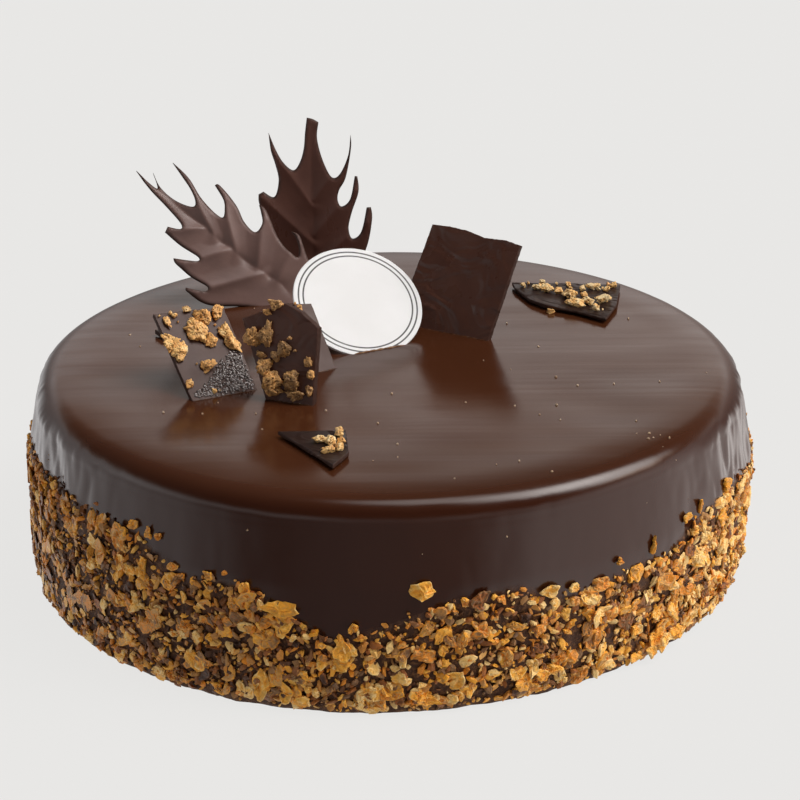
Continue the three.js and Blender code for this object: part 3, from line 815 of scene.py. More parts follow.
@dataclass
class GlazedBody:
    """The cake itself: a smooth glazed top and side, and the uneven bed under the flakes."""

    side: CakeSide
    finish: GlazeFinish = field(default_factory=GlazeFinish)
    segments: int = 720
    side_step: float = 1.3
    rim_steps: int = 12
    rim_slope: float = 5.0  # the top's slope, in degrees, where the round rim starts
    rim_fall: float = 13.0  # how wide the gentle fall before it is
    top_rings: int = 30
    fold_depth: float = 0.85
    fold_start: float = 57.0
    calm_front: float = 0.9    # how much fainter the drips are in front
    calm_behind: float = 0.45  # and behind
    bed_edge: Point = (-0.6, 2.2)  # where the bed fades out, below the flakes' upper edge
    bed_relief: float = 0.75
    top_relief: float = 0.12
    top_edge: Point = (94.0, 80.0)  # where the top's relief starts and is full
    least_ripple: float = 0.12
    left_ripple: float = 1.1   # more ripple on the rim at the left, and some behind
    back_ripple: float = 0.35

    def profile(self) -> list[Point]:
        """Stations from the foot to the middle of the top: a height, and the rim's own radius.

        Returns:
            Pairs of a height and a radius, where a radius of 0 is read from the side's form.
        """
        slope, count = math.radians(self.rim_slope), self.rim_steps
        fall = [slope * (k / count) ** 2 for k in range(count + 1)]
        turn = [slope + (math.pi / 2 - slope) * k / count for k in range(1, count + 1)]
        steps = [self.rim_fall / count] * count
        steps += [RIM_ROUNDING * (math.pi / 2 - slope) / count] * count
        angles = np.array(fall + turn)
        middle = (angles[1:] + angles[:-1]) / 2
        drop = np.concatenate([[0.0], np.cumsum(np.sin(middle) * steps)])
        inset = np.concatenate([[0.0], np.cumsum(np.cos(middle) * steps)])
        start = TOP_RADIUS - inset[-1]
        rim = [(CAKE_HEIGHT - d, start + i) for d, i in zip(drop[::-1], inset[::-1])]
        low = [(h, 0.0) for h in np.arange(0.0, rim[0][0] - 0.2, self.side_step)]
        top = [(CAKE_HEIGHT, start * (1 - k / self.top_rings)) for k in range(1, self.top_rings)]
        return low + rim + top

    def folds(self, azimuth: np.ndarray, height: np.ndarray) -> np.ndarray:
        """Upright drips where the glaze ran down, from a scalloped upper edge on the rim.

        Args:
            azimuth: in degrees.
            height: above the underside.

        Returns:
            How far the drips stand out. They are faint where the front is smooth.
        """
        level = on_side(1.0, azimuth, 0.0)
        ring = level + np.outer(height, (0.0, 0.0, 0.004))
        drips = (2.2 * np.abs(noise_at(ring, 9.0, 4.0)) - 0.45
                 + 0.8 * np.abs(noise_at(ring, 22.0, 9.0)))
        from_front = smoothstep(np.abs(azimuth + 90.0), 40.0, 66.0)
        behind = smoothstep(azimuth, 15.0, 50.0) * smoothstep(azimuth, 170.0, 135.0)
        seen = (1 - self.calm_front * (1 - from_front)) * (1 - self.calm_behind * behind)
        start = self.fold_start + 3.0 * noise_at(level, 8.0, 2.0)
        return self.fold_depth * drips * seen * smoothstep(height, start + 1.4, start - 3.0)

    def top_at(self, out: float) -> float:
        """The height of the top at a distance from its middle."""
        top = sorted((radius, height) for height, radius in self.profile() if radius)
        return float(np.interp(out, *zip(*top)))

    def build(self) -> None:
        """Makes the body and gives it its finish."""
        count = self.segments
        azimuth = np.arange(count) * 360.0 / count - 180.0
        rows, beds, ripples = [], [], []
        for height, own_radius in self.profile():
            heights = np.full(count, height)
            bed = smoothstep(self.side.line(azimuth) - height, *self.bed_edge)
            if own_radius:
                share = min(1.0, own_radius / (TOP_RADIUS - RIM_ROUNDING)) ** 3
                radius = own_radius + self.side.swell(azimuth, heights) * share
            else:
                radius = self.side.radius(azimuth, heights)
            ring = on_side(radius, azimuth, heights)
            relief = noise_at(ring, 0.16, 2.0) + 0.5 * noise_at(ring, 0.45, 7.0)
            out = bed * self.bed_relief * relief + (1 - bed) * self.folds(azimuth, heights)
            if own_radius:
                lifted = noise_at(ring, 0.045, 5.0) * self.top_relief
                ring[:, 2] += lifted * smoothstep(own_radius, *self.top_edge)
            ring[:, :2] *= (1 + out / radius)[:, None]
            rows.append(ring)
            beds.append(bed)
            left = self.left_ripple * smoothstep(-ring[:, 0], 20.0, 75.0)
            rim = smoothstep(np.hypot(ring[:, 0], ring[:, 1]), 70.0, 96.0)
            back = self.back_ripple * smoothstep(ring[:, 1], 30.0, 80.0)
            ripples.append(self.least_ripple + left * rim + back)
        middle = len(rows) * count
        faces = (tube_faces(len(rows), count) + fan_faces(middle - count, count, middle)
                 + fan_faces(0, count, middle + 1))
        points = np.concatenate([*rows, [[0, 0, CAKE_HEIGHT], [0, 0, 0]]])
        shell = Shell()
        shell.add(points, faces, bed=np.concatenate([*beds, [0.0, 1.0]]),
                  ripple=np.concatenate([*ripples, [self.least_ripple, 0.0]]))
        hand_over(shell.make("glazed_cake", self.finish.build()), "glaze", "cake")


class Form(Enum):
    """The simple closed forms that are scattered."""

    CHIP = "chips"
    BEAD = "beads"


class Scatter(Tree):
    """A Geometry Nodes tree that scatters small closed chips or beads on a surface."""

    SIZES = {
        "Density": ("NodeSocketFloat", 1.0), "Smallest": ("NodeSocketVector", (1, 1, 1)),
        "Largest": ("NodeSocketVector", (1, 1, 1)), "Tilt": ("NodeSocketFloat", 0.4),
        "Unevenness": ("NodeSocketFloat", 0.3), "Curl": ("NodeSocketFloat", 0.0),
        "Reach": ("NodeSocketFloat", 1.0), "Wider": ("NodeSocketFloat", 0.0),
        "Seed": ("NodeSocketInt", 0), "RightLight": ("NodeSocketFloat", 0.0),
    }

    def __init__(self, form: Form, tones: Point) -> None:
        """Builds the tree.

        Args:
            form: the simple closed form that is scattered.
            tones: the lowest and highest tone of a piece.
        """
        super().__init__(bpy.data.node_groups.new(f"scatter_{form.value}", "GeometryNodeTree"))
        face = self.tree.interface
        face.new_socket("Geometry", in_out="INPUT", socket_type="NodeSocketGeometry")
        for name, (kind, start) in self.SIZES.items():
            face.new_socket(name, in_out="INPUT", socket_type=kind).default_value = start
        face.new_socket("Finish", in_out="INPUT", socket_type="NodeSocketMaterial")
        face.new_socket("Geometry", in_out="OUTPUT", socket_type="NodeSocketGeometry")
        self.inputs = self.node("NodeGroupInput").outputs
        self.form = form
        self.wire(tones)

    def vector_maths(self, kind: str, first: object, second: object = None,
                     scale: object = None) -> Socket:
        """A sum, product or the like of two vectors."""
        made = self.node("ShaderNodeVectorMath")
        made.operation = kind
        self.feed(made.inputs[0], first)
        if second is not None:
            self.feed(made.inputs[1], second)
        if scale is not None:
            self.feed(made.inputs["Scale"], scale)
        return made.outputs["Value" if kind in ("LENGTH", "DISTANCE") else "Vector"]

    def random(self, low: object, high: object, step: int, vector: bool = False) -> Socket:
        """A random value for each element.

        Args:
            low: the lowest value.
            high: the highest value.
            step: keeps this choice apart from the tree's others.
            vector: whether the value is a vector.

        Returns:
            The value.
        """
        made = self.node("FunctionNodeRandomValue")
        made.data_type = "FLOAT_VECTOR" if vector else "FLOAT"
        first = 0 if vector else 2
        self.feed(made.inputs[first], low)
        self.feed(made.inputs[first + 1], high)
        self.feed(made.inputs["Seed"], self.maths("ADD", self.inputs["Seed"], float(step)))
        return made.outputs[0 if vector else 1]

    def kept(self, geometry: Socket, name: str, value: Socket, kind: str = "FLOAT") -> Socket:
        """Stores a named value on each scattered piece."""
        made = self.node("GeometryNodeStoreNamedAttribute", Geometry=geometry, Name=name)
        made.data_type = kind
        made.domain = "INSTANCE"
        self.tree.links.new(value, made.inputs["Value"])
        return made.outputs["Geometry"]

    def named(self, name: str, kind: str = "FLOAT") -> Socket:
        """Reads a named value."""
        made = self.node("GeometryNodeInputNamedAttribute", Name=name)
        made.data_type = kind
        return made.outputs["Attribute"]

    def primitive(self) -> Socket:
        """The closed form that is scattered."""
        made = self.node("GeometryNodeMeshIcoSphere", Radius=1.0,
                         Subdivisions=2 if self.form is Form.BEAD else 1)
        return made.outputs["Mesh"]

    def wire(self, tones: Point) -> None:
        """Links the whole tree: scatter, turn, store, realize, make uneven, keep inside."""
        points = self.node("GeometryNodeDistributePointsOnFaces", Mesh=self.inputs["Geometry"],
                           Seed=self.inputs["Seed"])
        cover = self.maths("MULTIPLY", self.named("cover"), self.inputs["Density"])
        self.feed(points.inputs["Density"], cover)
        spin = self.random((0, 0, -math.pi), (0, 0, math.pi), 1, vector=True)
        tilt = self.inputs["Tilt"]
        low = self.vector_maths("SCALE", (-1, -1, 0), scale=tilt)
        high = self.vector_maths("SCALE", (1, 1, 0), scale=tilt)
        lean = self.random(low, high, 2, vector=True)
        turned = points.outputs["Rotation"]
        for euler in (spin, lean):
            by = self.node("FunctionNodeEulerToRotation", Euler=euler).outputs["Rotation"]
            step = self.node("FunctionNodeRotateRotation", Rotation=turned, Rotate_By=by)
            step.rotation_space = "LOCAL"
            turned = step.outputs["Rotation"]
        size = self.random(self.inputs["Smallest"], self.inputs["Largest"], 3, vector=True)
        scattered = self.node("GeometryNodeInstanceOnPoints", Points=points.outputs["Points"],
                              Instance=self.primitive(), Rotation=turned, Scale=size)
        geometry = scattered.outputs["Instances"]
        position = self.node("GeometryNodeInputPosition").outputs["Position"]
        # Painted light: the tone rises to the right, where the light falls.
        across = self.node("ShaderNodeSeparateXYZ", Vector=position).outputs["X"]
        shift = self.maths("MULTIPLY", across, self.inputs["RightLight"])
        tone = self.maths("ADD", self.random(tones[0], tones[1], 4), shift)
        geometry = self.kept(geometry, "tone", tone)
        geometry = self.kept(geometry, "centre", position, "FLOAT_VECTOR")
        width = self.vector_maths("LENGTH", size)
        geometry = self.kept(geometry, "width", width)
        geometry = self.node("GeometryNodeRealizeInstances", Geometry=geometry).outputs["Geometry"]
        geometry = self.roughened(geometry)
        flat = self.node("GeometryNodeSetShadeSmooth", Geometry=geometry)
        flat.inputs["Shade Smooth"].default_value = self.form is Form.BEAD
        finished = self.node("GeometryNodeSetMaterial", Geometry=flat.outputs["Geometry"],
                             Material=self.inputs["Finish"])
        end = self.node("NodeGroupOutput")
        self.tree.links.new(finished.outputs["Geometry"], end.inputs["Geometry"])

    def roughened(self, geometry: Socket) -> Socket:
        """Gives every piece its own broken form, and keeps all within the reach and above 0."""
        position = self.node("GeometryNodeInputPosition").outputs["Position"]
        arm = self.vector_maths("SUBTRACT", position, self.named("centre", "FLOAT_VECTOR"))
        uneven = self.inputs["Unevenness"]
        share = self.random(self.maths("MULTIPLY", uneven, -1.0), uneven, 5)
        along = self.vector_maths("SCALE", arm, scale=share)
        curl = self.maths("MULTIPLY", self.inputs["Curl"], self.named("width"))
        shake = self.random((-1, -1, -1), (1, 1, 1), 6, vector=True)
        offset = self.vector_maths("ADD", along, self.vector_maths("SCALE", shake, scale=curl))
        moved = self.node("GeometryNodeSetPosition", Geometry=geometry, Offset=offset)
        position = self.node("GeometryNodeInputPosition").outputs["Position"]
        parts = self.node("ShaderNodeSeparateXYZ", Vector=position).outputs
        level = self.node("ShaderNodeCombineXYZ", X=parts["X"], Y=parts["Y"], Z=0.0)
        out = self.vector_maths("LENGTH", level.outputs["Vector"])
        right = self.maths("MAXIMUM", self.maths("DIVIDE", parts["X"], out), 0.0)
        wider = self.maths("MULTIPLY", self.maths("POWER", right, 8.0), self.inputs["Wider"])
        limit = self.maths("ADD", self.inputs["Reach"], wider)
        held = self.maths("DIVIDE", self.maths("MINIMUM", out, limit), out)
        above = self.maths("MAXIMUM", parts["Z"], 0.0)
        place = self.node("ShaderNodeCombineXYZ", X=self.maths("MULTIPLY", parts["X"], held),
                          Y=self.maths("MULTIPLY", parts["Y"], held), Z=above)
        end = self.node("GeometryNodeSetPosition", Geometry=moved.outputs["Geometry"],
                        Position=place.outputs["Vector"])
        return end.outputs["Geometry"]

    def run(self, name: str, surface: bpy.types.Object, material: Material,
            sizes: dict[str, object]) -> bpy.types.Object:
        """Scatters on a surface and turns the result into a plain mesh.

        Args:
            name: the new piece's name.
            surface: what it is scattered on. It becomes the piece.
            material: its finish.
            sizes: values for the tree's named inputs, in metres.

        Returns:
            The finished piece.
        """
        modifier = surface.modifiers.new("scatter", "NODES")
        modifier.node_group = self.tree
        sockets = {item.name: item.identifier for item in self.tree.interface.items_tree
                   if item.in_out == "INPUT"}
        for key, value in (sizes | {"Finish": material}).items():
            modifier[sockets[key]] = value
        surface.update_tag()
        graph = bpy.context.evaluated_depsgraph_get()
        mesh = bpy.data.meshes.new_from_object(surface.evaluated_get(graph))
        surface.modifiers.remove(modifier)
        old, surface.data = surface.data, mesh
        bpy.data.meshes.remove(old)
        surface.name = mesh.name = name
        for key in ("centre", "width"):
            mesh.attributes.remove(mesh.attributes[key])
        return surface


@dataclass(frozen=True)
class FlakeKind:
    """One kind of scattered caramel: its sizes, how thickly it lies and where."""

    name: str
    density: float          # pieces on each square millimetre
    smallest: Triple
    largest: Triple
    tones: Point
    tilt: float
    unevenness: float
    curl: float
    seed: int
    lift: float             # how far its middle lies off the side
    low: float              # the lowest height
    over_line: float        # how far above the flake line it goes
    fade: float = 3.0
    stray: bool = False     # whether it thins out above the line


@dataclass(frozen=True)
class Flake:
    """A broad flake: its place, size, roll and tone."""

    azimuth: float
    height: float
    width: float
    length: float
    roll: float
    tone: float
    out: float = 0.0        # how far it stands off the side, in a clump


@dataclass(frozen=True)
class FlakeForm:
    """How a flake is broken: its corners, straight cuts, rings, notch and fold."""

    corners: int
    cuts: int
    rings: tuple[Point, ...]
    jagged: float
    notch: float
    fold: float
    lumps: float
    notch_width: float = 0.4

    def topology(self) -> list[Face]:
        """The faces of a flake: a fan, the rings between, and a fan below."""
        n = self.corners
        bottom = 1 + n * (len(self.rings) - 2)
        faces: list[Face] = []
        for i, j in pairs(n):
            faces += [(0, 1 + i, 1 + j), (bottom, bottom - n + j, bottom - n + i)]
            for k in range(len(self.rings) - 3):
                a, b = 1 + k * n, 1 + (k + 1) * n
                faces += [(a + i, b + i, b + j), (a + i, b + j, a + j)]
        return faces

    def edge(self, rng: np.random.Generator, half: np.ndarray) -> np.ndarray:
        """The outline of one flake: straight cuts, a notch and jagged corners.

        Args:
            rng: where its form comes from.
            half: half its width and length.

        Returns:
            The corners, about their middle.
        """
        n, whole = self.corners, 2 * math.pi
        angles = (np.arange(n) + rng.uniform(-0.3, 0.3, n)) * (whole / n)
        facing = np.cos(angles[:, None] - rng.uniform(0, whole, self.cuts))
        reach = rng.uniform(0.55, 1.0, self.cuts) / np.maximum(facing, 0.12)
        reach = np.minimum(reach.min(axis=1), 1.2) * rng.uniform(1 - self.jagged, 1.1, n)
        away = (angles - rng.uniform(0, whole) + math.pi) % whole - math.pi
        reach = reach * (1 - self.notch * np.exp(-(away / self.notch_width) ** 2))
        edge = np.stack([np.cos(angles), np.sin(angles)], axis=1) * reach[:, None] * half
        return edge - edge.mean(axis=0)


SMALL_FLAKE = FlakeForm(12, 5, ((0.0, 0.55), (0.58, 0.5), (0.93, 0.36), (1.0, -0.1),
                                (0.9, -0.5), (0.0, -0.5)), 0.08, 0.08, 0.14, 0.0)
LARGE_FLAKE = FlakeForm(22, 5, ((0.0, 0.55), (0.3, 0.55), (0.56, 0.52), (0.8, 0.46), (0.96, 0.34),
                                (1.0, 0.0), (0.9, -0.5), (0.0, -0.5)), 0.09, 0.26, 0.22, 0.6)


@dataclass
class FlakeBand:
    """The caramelised flakes round the lower side, and the ones that stick to the glaze above."""

    side: CakeSide
    reach: float = 103.8
    wider: float = 2.0      # how much farther it reaches on the right
    kinds: tuple[FlakeKind, ...] = (
        FlakeKind("flakes_medium", 0.17, (0.8, 0.45, 0.35), (2.1, 1.25, 0.85),
                  (0.1, 1.05), 0.6, 0.36, 0.08, 17, 0.45, 1.2, -0.4),
        FlakeKind("flakes_small", 0.36, (0.35, 0.3, 0.2), (1.15, 0.7, 0.45),
                  (0.0, 1.0), 0.7, 0.4, 0.1, 23, 0.3, 0.8, 0.5),
        FlakeKind("flakes_stray", 0.011, (0.5, 0.35, 0.2), (1.7, 1.0, 0.5),
                  (0.3, 0.95), 0.5, 0.35, 0.05, 37, 0.1, 30.0, 5.0, 6.0, stray=True),
    )
    strip_steps: int = 30
    right_light: float = 1.3      # painted light: how much the tone rises for each metre to the right
    broad_count: int = 1300
    broad_sizes: Point = (2.4, 7.6)
    broad_tilt: float = 25.0
    broad_seed: int = 11
    broad_margin: float = 1.2  # how far their middles stay from both edges of the band
    middle_tone: float = 0.66
    large_length: float = 5.4
    placed_tilt: float = 8.0
    placed_seed: int = 100
    placed: tuple[tuple[float, ...], ...] = (
        (-106, 29.5, 10, 6.6, 10, 0.78), (-85, 36, 7.6, 5.8, -8, 0.86),
        (-79, 32, 2.7, 2.6, 20, 0.7), (-95, 26, 3, 3.6, 0, 0.75), (-134, 39, 5, 9, 8, 0.62),
        (-131, 44, 3, 3.8, -10, 0.7), (-128, 43, 2.6, 3.5, 5, 0.66),
        (-126, 43, 2.2, 2.6, -20, 0.6), (-117, 36, 3.6, 3, 30, 0.72),
        (-111, 34, 3.4, 6.6, 4, 0.8), (-109, 7, 4.6, 9.2, 6, 0.84), (-35, 40, 2.4, 4.8, 0, 0.72),
        (-39, 39, 3.6, 3.4, -25, 0.82), (-37, 34, 4.4, 2.9, 10, 0.88), (-47, 36, 2.4, 5, 12, 0.76),
        (-50, 30, 5.4, 5.6, 5, 0.74), (-57, 30, 6.6, 4.4, 15, 0.6), (-54, 35, 2.6, 2, 0, 0.55),
        (-66, 32, 6, 4.4, -20, 0.92), (-62, 31, 3.4, 2.8, 0, 0.9), (-52, 16, 6, 8.6, -8, 0.3),
        (-59, 26, 7.6, 5, 12, 0.5), (-26, 40, 5, 4, 20, 0.72), (-147, 34, 6, 9, -6, 0.66),
        (-138, 33, 3.8, 7.2, -8, 0.62), (-129, 33, 3, 5.6, 14, 0.8), (-124, 32, 5.2, 5.6, 0, 0.8),
        (-123, 36, 2.9, 2.6, 0, 0.6), (-113, 30, 4.6, 4, 35, 0.72), (-127, 19, 6.6, 8.4, 6, 0.6),
        (-141, 38, 3.6, 3.3, 0, 0.62), (-45, 6.5, 5.6, 6.4, 20, 0.86, 0.7),
        (-43, 3.6, 5, 4.4, -30, 0.94, 1.6), (-46, 3.2, 4.6, 4.2, 8, 0.9, 2.5),
        (-44, 6.4, 3.8, 4.2, 50, 0.97, 2.8), (-40, 5, 4.2, 5.4, -12, 0.8, 1.2),
        (-49, 2.8, 5, 3.6, 0, 0.84, 1), (-42, 9.6, 4, 4.6, 16, 0.82, 0.8),
    )
    thickness: Point = (0.6, 1.15)
    bow: float = 0.05
    face_rough: float = 0.15   # of a flake's thickness
    back_rough: float = 0.05
    stand_off: float = 0.35    # how far its middle lies off the side
    foot_reach: float = 0.5    # how far flakes stand out where the cake meets the table
    tuck: float = 0.75         # how much of what stands out farther there is pushed in
    off_table: float = 0.05

    def surface(self, kind: FlakeKind) -> bpy.types.Object:
        """The strip of side that a kind of flake is scattered on.

        Args:
            kind: the kind of flake.

        Returns:
            An open strip, with how much of it is covered as a named value.
        """
        azimuth = np.linspace(-180.0, 180.0, 361)
        line = self.side.line(azimuth)
        ragged = 2.2 * noise_at(on_side(1.0, azimuth, 0.0), 14.0, 3.0 + kind.seed)
        top = line + kind.over_line + ragged
        rows, cover = [], []
        for k in range(self.strip_steps + 1):
            height = kind.low + (top - kind.low) * k / self.strip_steps
            rows.append(on_side(self.side.radius(azimuth, height) + kind.lift, azimuth, height))
            if kind.stray:
                share = np.exp(-np.maximum(0.0, height - line) / 2.5) * (height > line - 3.0)
            else:
                thin = smoothstep(noise_at(rows[-1], 0.17, 1.0), -0.45, 0.0)
                upper = smoothstep(height, top - kind.fade, top + 0.1)
                share = (1 - 0.45 * upper) * (0.3 + 0.7 * thin)
            cover.append(share)
        return sheet(kind.name, np.concatenate(rows), len(azimuth), np.concatenate(cover))

    def single(self, shell: Shell, flake: Flake, rng: np.random.Generator,
               tilt: float, form: FlakeForm) -> None:
        """Adds one flake: a plate broken along straight cuts, with an uneven, bent face.

        Args:
            shell: what the flake is added to.
            flake: the flake.
            rng: where its form comes from.
            tilt: how far it may lean out of the side, in degrees.
            form: how it is broken.
        """
        edge = form.edge(rng, np.array([flake.width, flake.length]) / 2)
        thick = rng.uniform(*self.thickness)
        bend = rng.normal(0.0, self.bow, 2)
        crease, shift = rng.uniform(0, math.pi), rng.normal(0.0, 0.5)
        across = np.array([math.cos(crease), math.sin(crease)])
        fold = rng.choice([-1.0, 1.0]) * form.fold
        start = float(rng.uniform(0, 50))
        layers, tones = [], []
        for share, level in form.rings:
            flat = edge * share if share else np.zeros((1, 2))
            coarse = self.face_rough if level > 0 else self.back_rough
            rough = rng.normal(0.0, coarse, len(flat)) * thick
            lumps = form.lumps * noise_at(raised(flat), 0.7, start)
            out = level * thick + rough + (flat ** 2) @ bend + lumps * thick
            out = out + fold * (np.abs(flat @ across - shift) - 0.6)
            layers.append(raised(flat, out))
            # Painted highlight: the upper rim is lighter and the other rings darker, and the tone
            # follows the lumps, lighter where they stand out.
            rim_highlight = 0.06 if share > 0.9 else -0.03
            tones.append(rng.normal(rim_highlight, 0.06, len(flat)) + 0.25 * lumps)
        leans = np.radians(rng.uniform(-tilt, tilt, 2))
        turn = (Matrix.Rotation(leans[0], 3, "X") @ Matrix.Rotation(leans[1], 3, "Y")
                @ Matrix.Rotation(math.radians(-flake.roll), 3, "Z"))
        x, y, z = (np.concatenate(layers) @ np.array(turn).T).T
        base = float(self.side.radius(flake.azimuth, flake.height))
        azimuth = flake.azimuth + np.degrees(x / base)
        limit = self.reach + self.wider * np.maximum(np.cos(np.radians(azimuth)), 0.0) ** 8
        out = np.minimum(base + self.stand_off + thick * 0.4 + z, limit) + flake.out
        height = np.maximum(self.off_table, flake.height + y)
        foot = float(self.side.radius(flake.azimuth, 0.0)) + self.foot_reach
        tucked = 0.0 if flake.out else self.tuck * (1 - smoothstep(height, 0.3, 3.4))
        out = out - tucked * np.maximum(out - foot, 0.0)
        tone = np.clip(flake.tone + np.concatenate(tones), 0.0, 1.0)
        shell.add(on_side(out, azimuth, height), form.topology(), tone=tone)

    def painted_light_at(self, azimuth: float) -> float:
        """The flakes' tone against the middle tone: painted light makes it light on the right,
        painted shade browner on the left.
        """
        return float(0.12 * smoothstep(azimuth, -80.0, -25.0)
                     - 0.06 * smoothstep(azimuth, -30.0, -5.0)
                     - 0.1 * smoothstep(-azimuth, 105.0, 150.0))

    def broad(self) -> Shell:
        """Makes the many broad flakes, large ones less often than small ones."""
        shell = Shell()
        rng = np.random.default_rng(self.broad_seed)
        low, high = self.broad_sizes
        made = 0
        while made < self.broad_count:
            azimuth, share = rng.uniform(-180, 180), rng.uniform(0, 1)
            top = float(self.side.line(azimuth)) - self.broad_margin
            height = self.broad_margin + (top - self.broad_margin) * share
            spot = on_side(SKIRT_RADIUS, azimuth, height)[None, :]
            if noise_at(spot, 0.16, 1.0)[0] < rng.uniform(-0.65, -0.1):
                continue
            length = low + (high - low) * rng.uniform(0, 1) ** 2.1
            width = length * rng.uniform(0.45, 0.95)
            tone = self.middle_tone + self.painted_light_at(azimuth) + rng.normal(0.0, 0.3)
            flake = Flake(azimuth, height, length, width, rng.uniform(0, 360),
                          min(0.98, max(0.03, tone)))
            form = LARGE_FLAKE if length > self.large_length else SMALL_FLAKE
            self.single(shell, flake, rng, self.broad_tilt, form)
            made += 1
        return shell

    def large(self) -> Shell:
        """Makes the flakes that can be told apart, each in its own place."""
        shell = Shell()
        for number, row in enumerate(self.placed, self.placed_seed):
            rng = np.random.default_rng(number)
            self.single(shell, Flake(*row), rng, self.placed_tilt, LARGE_FLAKE)
        return shell

    def build(self) -> None:
        """Makes every kind of flake and the listed ones."""
        material = FLAKE_CARAMEL.build()
        for kind in self.kinds:
            sizes = {
                "Density": kind.density / MM ** 2, "Tilt": kind.tilt,
                "Smallest": [v * MM for v in kind.smallest],
                "Largest": [v * MM for v in kind.largest],
                "Unevenness": kind.unevenness, "Curl": kind.curl, "Reach": self.reach * MM,
                "Wider": self.wider * MM, "Seed": kind.seed, "RightLight": self.right_light,
            }
            scatter = Scatter(Form.CHIP, kind.tones)
            piece = scatter.run(kind.name, self.surface(kind), material, sizes)
            hand_over(piece, "caramel_flakes")
        for name, shell in (("flakes_broad", self.broad()), ("flakes_large", self.large())):
            hand_over(shell.make(name, material, smooth=False), "caramel_flakes")


@dataclass
class GlazeSpecks:
    """Tiny pale crumbs and bubbles that lie on the glaze."""

    body: GlazedBody
    cluster: Triple = (72.0, -57.0, 4.5)  # where, and how far it spreads
    count_cluster: int = 9
    count_top: int = 46
    count_side: int = 16
    top_reach: float = 92.0
    side_heights: Point = (44.0, 53.0)
    radius: Point = (0.16, 0.42)
    side_share: float = 0.8  # of the size of those on the top
    above: float = 0.02
    seed: int = 8

    def blob(self, shell: Shell, centre: np.ndarray, radius: float, tone: float,
             rng: np.random.Generator) -> None:
        """Adds one uneven speck.

        Args:
            shell: what it is added to.
            centre: its middle.
            radius: its size.
            tone: its tone.
            rng: where its form comes from.
        """
        points, faces = ball(2)
        stretch = 1 + 0.25 * noise_at(points, 1.6, float(rng.uniform(0, 50)))
        shape = points * stretch[:, None] * radius * rng.uniform(0.7, 1.25, 3)
        shell.add(shape + centre, faces, tone=np.full(len(points), tone),
                  shaded_pit=np.zeros(len(points)))

    def build(self) -> None:
        """Makes the specks of the top and the side."""
        rng = np.random.default_rng(self.seed)
        shell = Shell()
        places = []
        for _ in range(self.count_top):
            azimuth = math.radians(rng.uniform(-180, 180))
            out = self.top_reach * math.sqrt(rng.uniform(0.02, 1))
            places.append((out * math.cos(azimuth), out * math.sin(azimuth)))
        across, back, spread = self.cluster
        places.extend(rng.normal((across, back), spread, (self.count_cluster, 2)))
        for x, y in places:
            centre = np.array([x, y, self.body.top_at(math.hypot(x, y)) + self.above])
            self.blob(shell, centre, rng.uniform(*self.radius), rng.uniform(0.3, 1), rng)
        for _ in range(self.count_side):
            azimuth, height = rng.uniform(-180, 180), rng.uniform(*self.side_heights)
            centre = on_side(self.body.side.radius(azimuth, height), azimuth, height)
            self.blob(shell, centre, rng.uniform(*self.radius) * self.side_share,
                      rng.uniform(0.0, 0.5), rng)
        hand_over(shell.make("glaze_specks", SPECK_CARAMEL.build()), "caramel_flakes")


BALLS: dict[int, tuple[np.ndarray, list[Face]]] = {}


def ball(level: int) -> tuple[np.ndarray, list[Face]]:
    """A ball of triangles, one unit in radius.

    Args:
        level: how finely it is divided.

    Returns:
        Its vertices and its faces.
    """
    if level not in BALLS:
        work = bmesh.new()
        bmesh.ops.create_icosphere(work, subdivisions=level, radius=1.0)
        points = np.array([v.co[:] for v in work.verts])
        faces = [tuple(v.index for v in face.verts) for face in work.faces]
        work.free()
        BALLS[level] = (points, faces)
    return BALLS[level]


# ---- chocolate pieces -------------------------------------------------------------------------


@dataclass(frozen=True)
class Crumb:
    """A porous caramel crumb on a face: where, how large and how pale."""

    across: float
    up: float
    width: float
    length: float
    tone: float = 0.7


def crumbs_of(tone: float, *sizes: tuple[float, float, float, float]) -> tuple[Crumb, ...]:
    """Crumbs of one piece.

    Args:
        tone: their middle tone.
        sizes: across, up, width and length of each.

    Returns:
        The crumbs, with tones that differ a little.
    """
    return tuple(Crumb(*size, min(1.0, max(0.0, tone + 0.13 * math.sin(7.3 * k))))
                 for k, size in enumerate(sizes))


